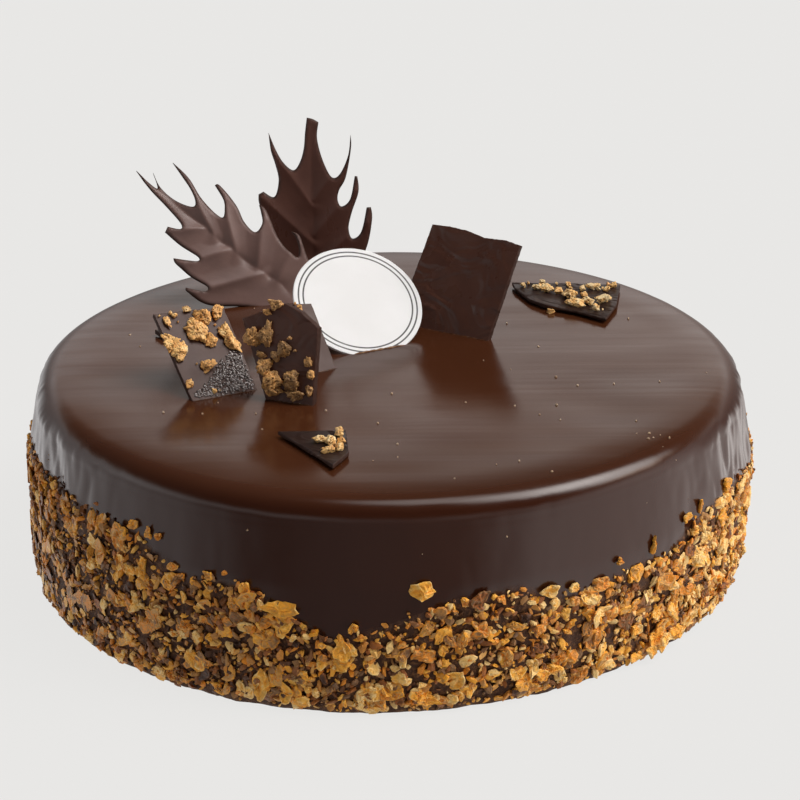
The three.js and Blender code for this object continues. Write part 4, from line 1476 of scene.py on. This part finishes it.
@dataclass
class ChocolatePlate:
    """A broken plate of chocolate: its outline, thickness, bow and crumbs."""

    node: str
    place: Place | Lying
    outline: tuple[Point, ...]
    finish: ChocolateFinish
    crumbs: tuple[Crumb, ...] = ()
    thickness: float = TILE_THICKNESS
    edge_round: float = 0.18
    roughness: float = 0.22
    relief: float = 0.1
    seed: float = 1.0
    dust: int = 1           # bits round each crumb
    corner_step: float = 0.7
    grid: float = 1.1
    clear: float = 0.45     # how far the grid's points stay from the outline
    sharp_from: float = 40.0

    def build(self, materials: dict[str, Material]) -> None:
        """Makes the plate.

        Args:
            materials: the chocolate finishes by name, filled as they are needed.
        """
        outline = resampled(np.array(self.outline, float), self.corner_step)
        out = outline_normals(outline)
        flat = raised(outline)
        worn = np.abs(noise_at(flat, 0.5, self.seed)) + 0.5 * np.abs(noise_at(flat, 1.5, self.seed))
        outline = outline - out * (worn * self.roughness)[:, None]
        face, faces = filled(outline - out * self.edge_round, outline, self.grid, self.clear)
        lift = self.relief * (noise_at(raised(face), 0.12, self.seed) - 1)
        count, total = len(outline), len(face)
        rim = lift[:count] - self.edge_round
        points = np.vstack([raised(face, lift), raised(face, -lift - self.thickness),
                            raised(outline, rim), raised(outline, -rim - self.thickness)])
        starts = (0, 2 * total, 2 * total + count, total)
        walls = [(a + i, b + i, b + j, a + j) for a, b in zip(starts[:-1], starts[1:])
                 for i, j in pairs(count)]
        # The walls carry the edge value, which paints shade on them in the finish.
        shell = Shell()
        shell.add(self.place.moved(points), and_back(faces, total) + walls,
                  edge=np.concatenate([np.zeros(2 * total), np.ones(2 * count)]))
        if self.finish.name not in materials:
            materials[self.finish.name] = self.finish.build()
        piece = shell.make(f"{self.node}_plate", materials[self.finish.name])
        piece.data.set_sharp_from_angle(angle=math.radians(self.sharp_from))
        hand_over(piece, "dark_chocolate", self.node)


@dataclass
class PorousCrumbs:
    """All the porous caramel crumbs on the plates."""

    plates: list[ChocolatePlate]
    facets: int = 15
    most: float = 1.35      # how far a broken form reaches, against a ball
    size_up: float = 1.12
    swell: float = 0.3
    pits: float = 0.26
    pit_scales: Point = (1.25, 2.6)
    fine_from: float = 1.5  # sizes from which crumbs are divided more finely
    finest_from: float = 2.9
    dust_spread: float = 0.8
    dust_radius: Point = (0.25, 0.6)
    seed: int = 3
    fallen: Crumb = Crumb(48.4, 36.6, 2.5, 2.3, 0.7)

    def add(self, shell: Shell, place: Place | Lying, crumb: Crumb,
            rng: np.random.Generator) -> None:
        """Adds one crumb, pressed on a face.

        Args:
            shell: what it is added to.
            place: where the face that it sticks to is.
            crumb: its place, size and tone.
            rng: where its form comes from.
        """
        size = min(crumb.width, crumb.length)
        level = 5 if size > self.finest_from else 4 if size > self.fine_from else 3
        points, faces = ball(level)
        start = float(rng.uniform(0, 90))
        normals = rng.normal(size=(self.facets, 3))
        normals /= np.linalg.norm(normals, axis=1)[:, None]
        facing = points @ normals.T
        reach = np.where(facing > 0.08, rng.uniform(0.6, 1.0, self.facets) / facing, 9.0)
        broken = np.minimum(reach.min(axis=1), self.most)
        scale = np.array([crumb.width, crumb.length, size * 0.5 + 0.6]) / 2 * self.size_up
        shape = points * broken[:, None] * scale
        rough = self.swell * noise_at(shape, 0.9, start) + 0.15 * noise_at(shape, 2.6, start)
        coarse, fine = self.pit_scales
        hollow = np.array([noise.voronoi(Vector(p * coarse + start))[0][0] for p in shape])
        small = np.array([noise.voronoi(Vector(p * fine - start))[0][0] for p in shape])
        shaded_pit = smoothstep(0.42 - hollow, 0.0, 0.2)
        shaded_pit = np.maximum(shaded_pit, 0.7 * smoothstep(0.36 - small, 0.0, 0.2))
        shape = shape * (1 + rough - self.pits * shaded_pit)[:, None]
        turn = rng.uniform(-0.3, 0.3)
        spin = np.array([[math.cos(turn), -math.sin(turn), 0],
                         [math.sin(turn), math.cos(turn), 0], [0, 0, 1]])
        shape = shape @ spin.T + np.array([crumb.across, crumb.up, scale[2] * 0.5])
        # Painted light: the tone is paler where the form bulges out and darker in the pits.
        tone = crumb.tone + 0.3 * noise_at(shape, 0.7, start + 5) + 0.15 * rough - 0.15 * shaded_pit
        shell.add(place.moved(shape), faces, tone=np.clip(tone, 0, 1), shaded_pit=shaded_pit * 0.75)

    def build(self) -> None:
        """Makes every crumb as one piece."""
        rng = np.random.default_rng(self.seed)
        shell = Shell()
        for plate in self.plates:
            for crumb in plate.crumbs:
                self.add(shell, plate.place, crumb, rng)
                for _ in range(plate.dust):
                    away = rng.normal(size=2) * (crumb.width, crumb.length)
                    at = np.array([crumb.across, crumb.up]) + away * self.dust_spread
                    size = 2 * rng.uniform(*self.dust_radius)
                    bit = Crumb(at[0], at[1], size, size, crumb.tone + rng.uniform(-0.2, 0.2))
                    loop = np.array(plate.outline)
                    if at[1] > 0 and inside(at[None, :], loop)[0]:
                        self.add(shell, plate.place, bit, rng)
        self.add(shell, Lying(CAKE_HEIGHT), self.fallen, rng)
        hand_over(shell.make("caramel_crumbs", CRUMB_CARAMEL.build()), "caramel_flakes")


@dataclass
class MeltBeads:
    """Tiny shining beads low on the face of a tile."""

    place: Place
    outline: tuple[Point, ...]
    density: float = 3.6
    sizes: Point = (0.22, 0.56)
    grid: float = 0.5
    behind: float = 0.1     # how far behind the face's plane their middles lie
    fade: float = 1.1
    seed: int = 60

    def build(self) -> None:
        """Scatters beads on the patch."""
        low, high = np.min(self.outline, axis=0), np.max(self.outline, axis=0)
        across = np.arange(low[0], high[0], self.grid)
        up = np.arange(low[1], high[1], self.grid)
        flat = np.stack(np.meshgrid(across, up), axis=-1).reshape(-1, 2)
        outline = np.array(self.outline)
        edge = distance_to_path(flat, closed(outline))
        patch = sheet("beads_left", self.place.moved(raised(flat, -self.behind)), len(across),
                      inside(flat, outline) * smoothstep(edge, 0.0, self.fade))
        small, large = ([size * MM] * 3 for size in self.sizes)
        sizes = {
            "Density": self.density / MM ** 2, "Tilt": 0.2, "Smallest": small, "Largest": large,
            "Unevenness": 0.06, "Curl": 0.0, "Reach": 1.0, "Seed": self.seed,
        }
        scatter = Scatter(Form.BEAD, (0.0, 1.0))
        piece = scatter.run("beads_left", patch, BEAD_CHOCOLATE.build(), sizes)
        hand_over(piece, "dark_chocolate")


@dataclass
class WavyLeaf:
    """A thin wavy leaf of chocolate with long points."""

    node: str
    place: Place
    edges: tuple[tuple[Point, ...], ...]
    rib: tuple[Point, ...]
    flutes: tuple[tuple[Point, ...], ...]
    finish: ChocolateFinish
    ridge: float = 1.35
    ridge_width: float = 2.0
    groove: float = 0.85
    groove_width: float = 1.6
    bow: float = 0.0016
    curve_steps: int = 7
    grid: float = 0.5
    clear: float = 0.3      # how far the grid's points stay from the outline
    edge_round: float = 0.3

    def outline(self) -> np.ndarray:
        """The outline as points, with a curve from each sharp point to the next."""
        points: list[Point] = []
        for edge in self.edges:
            spans = len(edge) - 1
            steps = spans * self.curve_steps if spans > 1 else 2
            corners = np.array(edge, float)
            for k in range(steps):
                t = k / steps * spans
                i = int(t)
                f = t - i
                p0 = corners[max(i - 1, 0)]
                p1, p2 = corners[i], corners[i + 1]
                p3 = corners[min(i + 2, spans)]
                v0, v1 = (p2 - p0) / 2, (p3 - p1) / 2
                points.append(tuple((2 * p1 - 2 * p2 + v0 + v1) * f ** 3
                                    + (-3 * p1 + 3 * p2 - 2 * v0 - v1) * f ** 2 + v0 * f + p1))
        return np.array(points)

    def wave(self, flat: np.ndarray) -> np.ndarray:
        """How far the leaf's front stands out at each point of its face."""
        ridge = np.zeros(len(flat))
        for flute in self.flutes:
            ridge = np.maximum(ridge, self.crest(distance_to_path(flat, flute), self.ridge_width))
        away = distance_to_path(flat, self.rib)
        rooted = smoothstep(flat[:, 1], 0.0, 8.0)
        bow = self.bow * (away ** 2 + flat[:, 1] ** 2 / 4)
        crease = self.groove * self.crest(away, self.groove_width)
        return rooted * (self.ridge * ridge - crease + bow)

    @staticmethod
    def crest(distance: np.ndarray, width: float) -> np.ndarray:
        """A rise from 0 to 1 towards a line, with a narrow top."""
        return np.exp(-np.sqrt(distance ** 2 + 0.09) / width)

    def build(self) -> None:
        """Makes the leaf."""
        outline = self.outline()
        flat, faces = filled(outline, outline, self.grid, self.clear)
        wave = self.wave(flat)
        away = distance_to_path(flat, closed(outline))
        dip = self.edge_round * (1 - smoothstep(away, 0.0, 0.9))
        points = np.vstack([raised(flat, wave - dip), raised(flat, wave - LEAF_THICKNESS + dip)])
        total = len(flat)
        walls = [(i, total + i, total + j, j) for i, j in pairs(len(outline))]
        # The edge value paints shade along the leaf's rim in the finish.
        edge = 1 - smoothstep(away, 0.1, 0.75)
        shell = Shell()
        shell.add(self.place.moved(points), and_back(faces, total) + walls,
                  edge=np.concatenate([edge, edge]))
        piece = shell.make(f"{self.node}_leaf", self.finish.build())
        hand_over(piece, "milk_dark_chocolate", self.node)


@dataclass
class WhiteDisc:
    """The plain white disc that leans back in the glaze, with two rings near its edge."""

    place: Place
    radius: float = 19.3
    thickness: float = 0.9
    sink: float = 2.0
    edge_round: float = 0.2
    inner_radius: float = 1.6
    rings: int = 34
    segments: int = 160
    finish: DiscFinish = field(default_factory=DiscFinish)

    def build(self) -> None:
        """Makes the disc."""
        count, soft = self.segments, self.edge_round
        inner = np.linspace(self.inner_radius, self.radius - soft - 0.15, self.rings)
        rim = ((soft, 0.0), (0.3 * soft, 0.3 * soft), (0.0, soft))
        steps = [(radius, 0.0) for radius in inner]
        steps += [(self.radius - less, -drop) for less, drop in rim]
        steps += [(self.radius - less, drop - self.thickness) for less, drop in reversed(rim)]
        angles = np.arange(count) * 360.0 / count
        rings = [on_side(radius, angles, level) for radius, level in steps]
        middle = len(steps) * count
        faces = (tube_faces(len(steps), count) + fan_faces(0, count, middle)
                 + fan_faces(middle - count, count, middle + 1))
        points = np.concatenate([*rings, [[0, 0, 0], [0, 0, -self.thickness]]])
        points[:, 1] += self.radius - self.sink
        out = [radius for radius, _ in steps]
        front = [1.0] * (self.rings + 1) + [0.0] * (len(steps) - self.rings - 1)
        shell = Shell()
        shell.add(self.place.moved(points), faces, out=np.append(np.repeat(out, count), [0, 0]),
                  front=np.append(np.repeat(front, count), [1, 0]))
        hand_over(shell.make("disc_white", self.finish.build()), "white_disc", "disc")


@dataclass
class GlazeLip:
    """The thin uneven bead of glaze where a standing piece goes into the cake."""

    feet: tuple[tuple[Place, float, float, float, float], ...]
    step: float = 0.4
    sides: int = 10
    flatness: float = 0.75
    least: float = 0.12

    def build(self) -> None:
        """Makes one bead for each foot: place, from, to, width and tone."""
        shell = Shell()
        for number, (place, start, end, width, tone) in enumerate(self.feet):
            count = max(4, int((end - start) / self.step))
            line = np.column_stack([np.linspace(start, end, count), np.zeros((count, 2))])
            size = width * (0.75 + 0.55 * noise_at(line, 0.9, number * 3.1)
                            + 0.3 * noise_at(line, 2.7, number * 7.7))
            from_end = np.minimum(np.arange(count), np.arange(count)[::-1])
            size = np.maximum(size, self.least) * np.clip(from_end / 3.0, 0.25, 1.0)
            yaw = math.radians(place.yaw)
            ahead = np.array([math.sin(yaw), -math.cos(yaw), 0.0])
            up = np.array([0.0, 0.0, self.flatness])
            angles = (2 * math.pi * np.arange(self.sides) / self.sides)[:, None]
            ring = np.cos(angles) * ahead + np.sin(angles) * up
            points = (place.moved(line)[:, None] + size[:, None, None] * ring).reshape(-1, 3)
            first = tuple(range(self.sides))
            last = tuple((count - 1) * self.sides + k for k in reversed(first))
            faces = tube_faces(count, self.sides)
            tones = np.clip(tone + 0.5 * noise_at(points, 0.8, number * 2.0), 0, 1)
            shell.add(points, faces + [first, last], tone=tones)
        hand_over(shell.make("glaze_lip", LIP_CARAMEL.build()), "glaze")


# ---- what stands where ------------------------------------------------------------------------

TILE_LEFT_PLACE = Place(-53.7, -31.0, 25.3, 50)
TILE_MIDDLE_PLACE = Place(-33.8, -29.7, -22, 15)
TILE_BEHIND_PLACE = Place(-18.8, -9.5, 30, 47)
TILE_RIGHT_PLACE = Place(2.2, 29.2, -30, 27)
LEAF_LEFT_PLACE = Place(-40.3, 44.2, 12, 32)
LEAF_BACK_PLACE = Place(-25, 66, 0, 3)
DISC_PLACE = Place(-2.6, 7.4, 25, 54)

PLATES = [
    ChocolatePlate(
        "tile_left", TILE_LEFT_PLACE,
        ((0, -FOOT_DEPTH), (19.5, -FOOT_DEPTH), (19.5, 0), (19.1, 14.6), (18.6, 27.7),
         (8.6, 28.5), (-2.1, 29.1), (0, 0)),
        MILK_TILE_CHOCOLATE,
        crumbs_of(0.66, (0.6, 25.9, 1.7, 3.6), (3.4, 27.2, 1.6, 1.4), (7.6, 28.7, 2, 2),
                  (8.6, 21.8, 4.6, 6.6), (12, 25.4, 4.2, 4.4), (16, 26.2, 3, 4.2),
                  (-0.2, 18.6, 4.6, 5.2), (1.4, 15.8, 3.8, 4.2), (16.4, 19.4, 3.4, 4.4),
                  (16.9, 15.6, 4, 4.6), (11.4, 17.3, 3, 4), (7.7, 9.7, 3.3, 3.5),
                  (0.9, 5.6, 2.4, 2.9), (7, 1.9, 1.6, 1.6)), seed=1.0),
    ChocolatePlate(
        "tile_middle", TILE_MIDDLE_PLACE,
        ((0.5, -FOOT_DEPTH), (14.5, -FOOT_DEPTH), (14.5, 0), (14.1, 21.5), (8.6, 25.3),
         (3.7, 27.1), (-9, 21.3), (-3.9, 9.6), (0, 0)),
        DARK_TILE_CHOCOLATE,
        crumbs_of(0.26, (0.9, 26.6, 3.4, 3.2), (-1.4, 24, 2.6, 2), (-5.4, 16.6, 4.6, 4.8),
                  (-1, 17.5, 4, 6), (4.9, 14.7, 4, 3.4), (2.4, 12.1, 3, 2.8), (-2, 12, 2.2, 2),
                  (-0.6, 9, 4.6, 4.4), (1.7, 5.9, 5.4, 4.6), (2.8, 2.7, 4.6, 3.4),
                  (7.7, 6.6, 4.8, 5.4), (9.1, 2.5, 3.7, 3.2), (13, 3.8, 1.9, 3),
                  (12.2, 11.8, 2.2, 3.2), (13, 8.4, 2, 2.4)),
        thickness=THICK_TILE_THICKNESS, seed=2.0),
    ChocolatePlate(
        "tile_behind", TILE_BEHIND_PLACE,
        ((-10, -FOOT_DEPTH), (5, -FOOT_DEPTH), (5.2, 0.7), (5.8, 21.4), (-1, 22.7),
         (-10.5, 22.2)),
        MILK_TILE_CHOCOLATE, crumbs_of(0.6, (1.5, 20.6, 1.8, 2)), seed=3.0),
    ChocolatePlate(
        "tile_right", TILE_RIGHT_PLACE,
        ((0, -FOOT_DEPTH), (31, -FOOT_DEPTH), (31.1, 0), (34.6, 29), (29.6, 29.8), (22.6, 29.5),
         (16.3, 30.7), (10.7, 31), (4.8, 30.7), (2.2, 14), (0, 0)),
        DARK_TILE_CHOCOLATE, seed=4.0),
    ChocolatePlate(
        "shard_right", Lying(),
        ((37.9, 59.2), (38.4, 54.6), (42.5, 44.2), (46.7, 39.1), (55.8, 33.8), (64.1, 26.6),
         (68.4, 39.2), (70.8, 56.7)),
        SHARD_CHOCOLATE,
        crumbs_of(0.85, (41, 55.5, 1.6, 1.8), (44.6, 53.2, 2.2, 2.6), (47, 57.4, 1.8, 2),
                  (48.6, 51.4, 3.2, 3), (51.6, 49.8, 2.4, 3), (54.8, 55.4, 1.6, 2),
                  (54.6, 46.6, 4, 5), (58.8, 51.4, 2, 2.2), (61.8, 52.8, 4.6, 2.6),
                  (66.2, 50.6, 2, 2.2), (68.2, 54.2, 1.8, 2), (59, 46, 1.8, 2), (56, 39, 4.8, 3.6),
                  (59.6, 40.4, 3.4, 3), (64.4, 41.2, 3.8, 3.8), (61.6, 34.2, 2, 2)),
        thickness=SHARD_THICKNESS, relief=0.3, seed=5.0),
    ChocolatePlate(
        "shard_front", Lying(),
        ((-29.2, -56.7), (-22, -67.5), (-14.1, -79.9), (-10, -71.2), (-11, -55.6)),
        SHARD_CHOCOLATE,
        crumbs_of(0.78, (-12.8, -58.6, 2.4, 3.4), (-18, -64.4, 3.4, 3.6),
                  (-14.8, -65.8, 3.2, 3.4), (-12.6, -69.4, 2.6, 3.4), (-15.4, -70.8, 2.8, 2.6),
                  (-11.9, -64.8, 1.9, 3)),
        thickness=SHARD_THICKNESS, relief=0.3, seed=6.0),
    ChocolatePlate(
        "shard_left", Lying(),
        ((-68, 20.6), (-66.4, 17.6), (-58.5, 13.5), (-57.2, 18.4), (-62, 21.6)),
        SHARD_CHOCOLATE, thickness=SHARD_THICKNESS, seed=7.0),
]

LEAVES = [
    WavyLeaf(
        "leaf_left", LEAF_LEFT_PLACE,
        (((20, -FOOT_DEPTH), (20.6, 2), (20, 8.1), (17.9, 14.3), (16.3, 20.6), (14.2, 22)),
         ((14.2, 22), (15.3, 20.1), (15.8, 16.3), (14.9, 14.1), (12.1, 16.6), (9.6, 21.1),
          (7.1, 29.1), (5.2, 31)),
         ((5.2, 31), (5.5, 28.9), (5.4, 25.2), (3, 22.7), (0.1, 26.2), (-1.8, 31.4), (-6, 37.8),
          (-7.5, 38.2)),
         ((-7.5, 38.2), (-5.7, 34.1), (-5.4, 31), (-6.7, 28), (-11.9, 34), (-15.4, 41.1),
          (-19.5, 46)),
         ((-19.5, 46), (-16.1, 39.6), (-14.1, 34.2), (-15, 32), (-20, 34.6), (-24, 38.9),
          (-25.7, 43.4)),
         ((-25.7, 43.4), (-25, 38.6), (-30.7, 44.4)),
         ((-30.7, 44.4), (-26.9, 38.2), (-22.9, 33), (-19.1, 27.4), (-19.5, 25.3),
          (-23.2, 26.4)),
         ((-23.2, 26.4), (-24.1, 24.8)),
         ((-24.1, 24.8), (-20, 20.7), (-15.1, 16.6), (-15.8, 15.1), (-22.4, 16.7)),
         ((-22.4, 16.7), (-21.8, 14.9), (-18, 10.9), (-13.3, 7.2), (-14.4, 5.7), (-19.7, 7.4)),
         ((-19.7, 7.4), (-19.5, 6.3), (-15.9, 3.1), (-11.7, 1.4), (-4, 0.6), (2, -1),
          (5, -FOOT_DEPTH))),
        ((15, -3), (9.6, 6), (0.9, 12.8), (-8.9, 22), (-14.9, 28.2), (-28, 41.6)),
        (((8, 7.5), (14.6, 18)), ((2.5, 11.5), (5.4, 26)), ((-3.5, 17), (-5.8, 33)),
         ((-9.5, 22.5), (-15.6, 38)), ((-12, 25), (-22.6, 25.2)), ((-5, 18), (-19.6, 14.6)),
         ((4, 10), (-17, 5.6))),
        LEAF_LEFT_CHOCOLATE),
    WavyLeaf(
        "leaf_back", LEAF_BACK_PLACE,
        (((8, -FOOT_DEPTH), (13, 1), (18.4, 10.2), (20.4, 19.5), (20.1, 23.5)),
         ((20.1, 23.5), (18.8, 23.4)),
         ((18.8, 23.4), (17, 15.7), (14.3, 13.6), (13.2, 17), (14.3, 22.1), (16.4, 28.5),
          (16.1, 33.2)),
         ((16.1, 33.2), (15.3, 33.3)),
         ((15.3, 33.3), (13.8, 26.1), (11.2, 23.8), (10, 25.9), (10.5, 29), (12.6, 33.1),
          (14.3, 42.1), (14.2, 46.4)),
         ((14.2, 46.4), (13.4, 39.9), (10.8, 34), (8.3, 33.1), (5.7, 38.2), (4.1, 45),
          (4.6, 50.1)),
         ((4.6, 50.1), (2.9, 51.1), (1.1, 51.6)),
         ((1.1, 51.6), (0.5, 47.1), (0, 42.1), (-1.2, 37.9), (-3.2, 35.3), (-6.1, 37.6),
          (-8.4, 41.7), (-10.5, 47.1)),
         ((-10.5, 47.1), (-9.9, 41.7), (-8.7, 37.4), (-7.8, 32.3), (-9.2, 27), (-12.5, 28.7)),
         ((-12.5, 28.7), (-14, 27.9)),
         ((-14, 27.9), (-13.8, 24.9), (-11.4, 19.1), (-7.9, 10.2), (-4.4, 0.6),
          (-4, -FOOT_DEPTH))),
        ((2, -2), (2.6, 18), (2.4, 40), (2.8, 50)),
        (((2.4, 24), (-9.6, 42)), ((2.6, 12), (-12.8, 27)), ((2.6, 26), (13, 40)),
         ((2.8, 15), (14.6, 29)), ((2.6, 5), (18.4, 19))),
        LEAF_BACK_CHOCOLATE, ridge=0.7, groove=0.45),
]

BEADS = MeltBeads(TILE_LEFT_PLACE, (
    (0.8, 0.3), (19.2, 0.3), (19.0, 14.5), (15, 13.5), (10, 9.5), (6, 5.5), (0.8, 2.4)))

FEET = (
    (DISC_PLACE, -7.5, 8.3, 0.45, 0.6),
    (TILE_LEFT_PLACE, 0.0, 19.4, 0.22, 0.05),
    (TILE_MIDDLE_PLACE, 0.2, 14.3, 0.25, 0.05),
    (TILE_BEHIND_PLACE, -9.0, 5.0, 0.25, 0.05),
    (TILE_RIGHT_PLACE, 0.4, 30.8, 0.22, 0.1),
)


# ---- the studio -------------------------------------------------------------------------------


@dataclass(frozen=True)
class Lamp:
    """A soft round light far away: its direction, its outer and inner edge in degrees."""

    toward: Triple
    outer: float
    inner: float
    strength: float


@dataclass(frozen=True)
class Glow:
    """A wide soft light: its strength, and curves along each axis of the direction."""

    strength: float
    x: tuple[Point, ...]
    y: tuple[Point, ...]
    z: tuple[Point, ...]


@dataclass
class Studio:
    """The camera, the pale floor and the soft light all round."""

    lens: float = 125.39
    sensor: float = 36.0
    clip: Point = (0.05, 20.0)
    camera_at: Triple = (3.418, -741.28, 348.15)
    look_down: float = 22.09
    roll: float = -0.525
    floor_half: float = 3000.0
    floor_finish: FloorFinish = field(default_factory=FloorFinish)
    wall: Glow = Glow(  # a wide pale wall, low behind the cake
        1.15,
        ((-0.6, 0.5), (-0.3, 0.8), (-0.12, 0.9), (0.15, 1.1), (0.3, 0.98), (0.6, 0.5)),
        ((-0.7, 0.0), (0.4, 1.0)),
        ((-0.5, 0.25), (-0.3, 0.4), (-0.12, 0.3), (0.05, 0.3), (0.2, 0.5), (0.29, 0.95),
         (0.335, 1.03), (0.37, 0.77), (0.41, 0.27), (0.5, 0.04)))
    belt: Glow = Glow(  # a low strip of light in front and at the sides
        0.75,
        ((-1.0, 1.0), (-0.5, 0.9), (-0.15, 0.3), (0.1, 0.15), (0.45, 0.5), (1.0, 0.5)),
        ((-0.1, 1.0), (0.4, 0.0)),
        ((-0.04, 0.0), (0.18, 1.0), (0.4, 0.0)))
    lamps: tuple[Lamp, ...] = (
        Lamp((0.7, 0.02, 0.7), 23.0, 3.0, 6.6), Lamp((0.5, -0.12, 0.86), 20.0, 3.0, 5.6),
        Lamp((0.12, 0.0, 0.99), 18.0, 3.0, 2.7), Lamp((0.9, -0.15, -0.42), 58.0, 22.0, 1.1),
        Lamp((-0.9, 0.1, -0.45), 62.0, 20.0, 0.72), Lamp((0.15, -0.9, -0.4), 60.0, 15.0, 0.23),
        Lamp((0.58, 0.72, -0.33), 17.0, 3.0, 1.1), Lamp((-0.55, 0.78, -0.3), 24.0, 4.0, 0.55),
    )
    fill: float = 0.04
    cool: Colour = (0.98, 0.965, 0.97)
    warm: Colour = (1.0, 0.95, 0.92)
    warm_side: tuple[Point, ...] = ((-0.25, 0.0), (0.25, 1.0))
    high: Colour = (1.0, 0.84, 0.72)  # the wall's upper edge, against the rest
    high_edge: tuple[Point, ...] = ((0.33, 0.0), (0.4, 1.0), (0.5, 1.0), (0.6, 0.0))

    def camera(self) -> None:
        """Puts the camera where the picture was taken from."""
        data = bpy.data.cameras.new("camera")
        data.lens = self.lens
        data.sensor_width = self.sensor
        data.clip_start, data.clip_end = self.clip
        item = bpy.data.objects.new("camera", data)
        bpy.context.scene.collection.objects.link(item)
        down, turn = math.radians(self.look_down), math.radians(self.roll)
        ahead = Vector((0.0, math.cos(down), -math.sin(down)))
        level, over = Vector((1.0, 0.0, 0.0)), Vector((0.0, math.sin(down), math.cos(down)))
        right = level * math.cos(turn) + over * math.sin(turn)
        up = over * math.cos(turn) - level * math.sin(turn)
        turned = Matrix((right, up, -ahead)).transposed().to_4x4()
        item.matrix_world = Matrix.Translation(Vector(self.camera_at) * MM) @ turned
        bpy.context.scene.camera = item

    def floor(self) -> None:
        """Makes the pale floor."""
        half = self.floor_half * MM
        mesh = bpy.data.meshes.new("floor")
        mesh.from_pydata([(-half, -half, 0), (half, -half, 0), (half, half, 0), (-half, half, 0)],
                         [], [(0, 1, 2, 3)])
        mesh.materials.append(self.floor_finish.build())
        item = linked("floor", mesh)
        item.visible_diffuse = item.visible_glossy = item.visible_shadow = False

    def light(self) -> None:
        """Makes the soft light: a wide pale wall low behind, a low belt in front, soft lamps."""
        world = bpy.data.worlds.new("studio")
        bpy.context.scene.world = world
        world.use_nodes = True
        sky = Tree(world.node_tree)
        toward = sky.node("ShaderNodeTexCoord").outputs["Generated"]
        x, y, z = sky.node("ShaderNodeSeparateXYZ", Vector=toward).outputs
        total = self.fill
        for glow in (self.wall, self.belt):
            level = sky.maths("MULTIPLY", sky.curve(x, *glow.x), sky.curve(y, *glow.y))
            level = sky.maths("MULTIPLY", level, sky.curve(z, *glow.z))
            total = sky.maths("ADD", total, sky.maths("MULTIPLY", level, glow.strength))
        for lamp in self.lamps:
            aim = sky.node("ShaderNodeVectorMath")
            aim.operation = "DOT_PRODUCT"
            sky.feed(aim.inputs[0], toward)
            sky.feed(aim.inputs[1], Vector(lamp.toward).normalized())
            soft = sky.curve(aim.outputs["Value"], (math.cos(math.radians(lamp.outer)), 0.0),
                             (math.cos(math.radians(lamp.inner)), 1.0))
            total = sky.maths("ADD", total, sky.maths("MULTIPLY", soft, lamp.strength))
        tint = sky.mix(sky.curve(x, *self.warm_side), self.cool, self.warm)
        tint = sky.mix(sky.curve(z, *self.high_edge), tint, self.high, "MULTIPLY")
        back = world.node_tree.nodes["Background"]
        sky.feed(back.inputs["Color"], tint)
        sky.feed(back.inputs["Strength"], total)

    def build(self) -> None:
        """Makes the camera, the floor and the light."""
        settings = bpy.context.scene.view_settings
        settings.view_transform = "Standard"
        settings.look = "None"
        self.camera()
        self.floor()
        self.light()


def main() -> None:
    """Builds the studio and every piece of the cake in order."""
    logging.basicConfig(level=logging.INFO, format="%(name)s: %(message)s")
    Studio().build()
    side = CakeSide()
    body = GlazedBody(side)
    body.build()
    FlakeBand(side).build()
    GlazeSpecks(body).build()
    materials: dict[str, Material] = {}
    for plate in PLATES:
        plate.build(materials)
    PorousCrumbs(PLATES).build()
    BEADS.build()
    for leaf in LEAVES:
        leaf.build()
    WhiteDisc(DISC_PLACE).build()
    GlazeLip(FEET).build()
    bpy.context.view_layer.update()


if __name__ == "__main__":
    main()
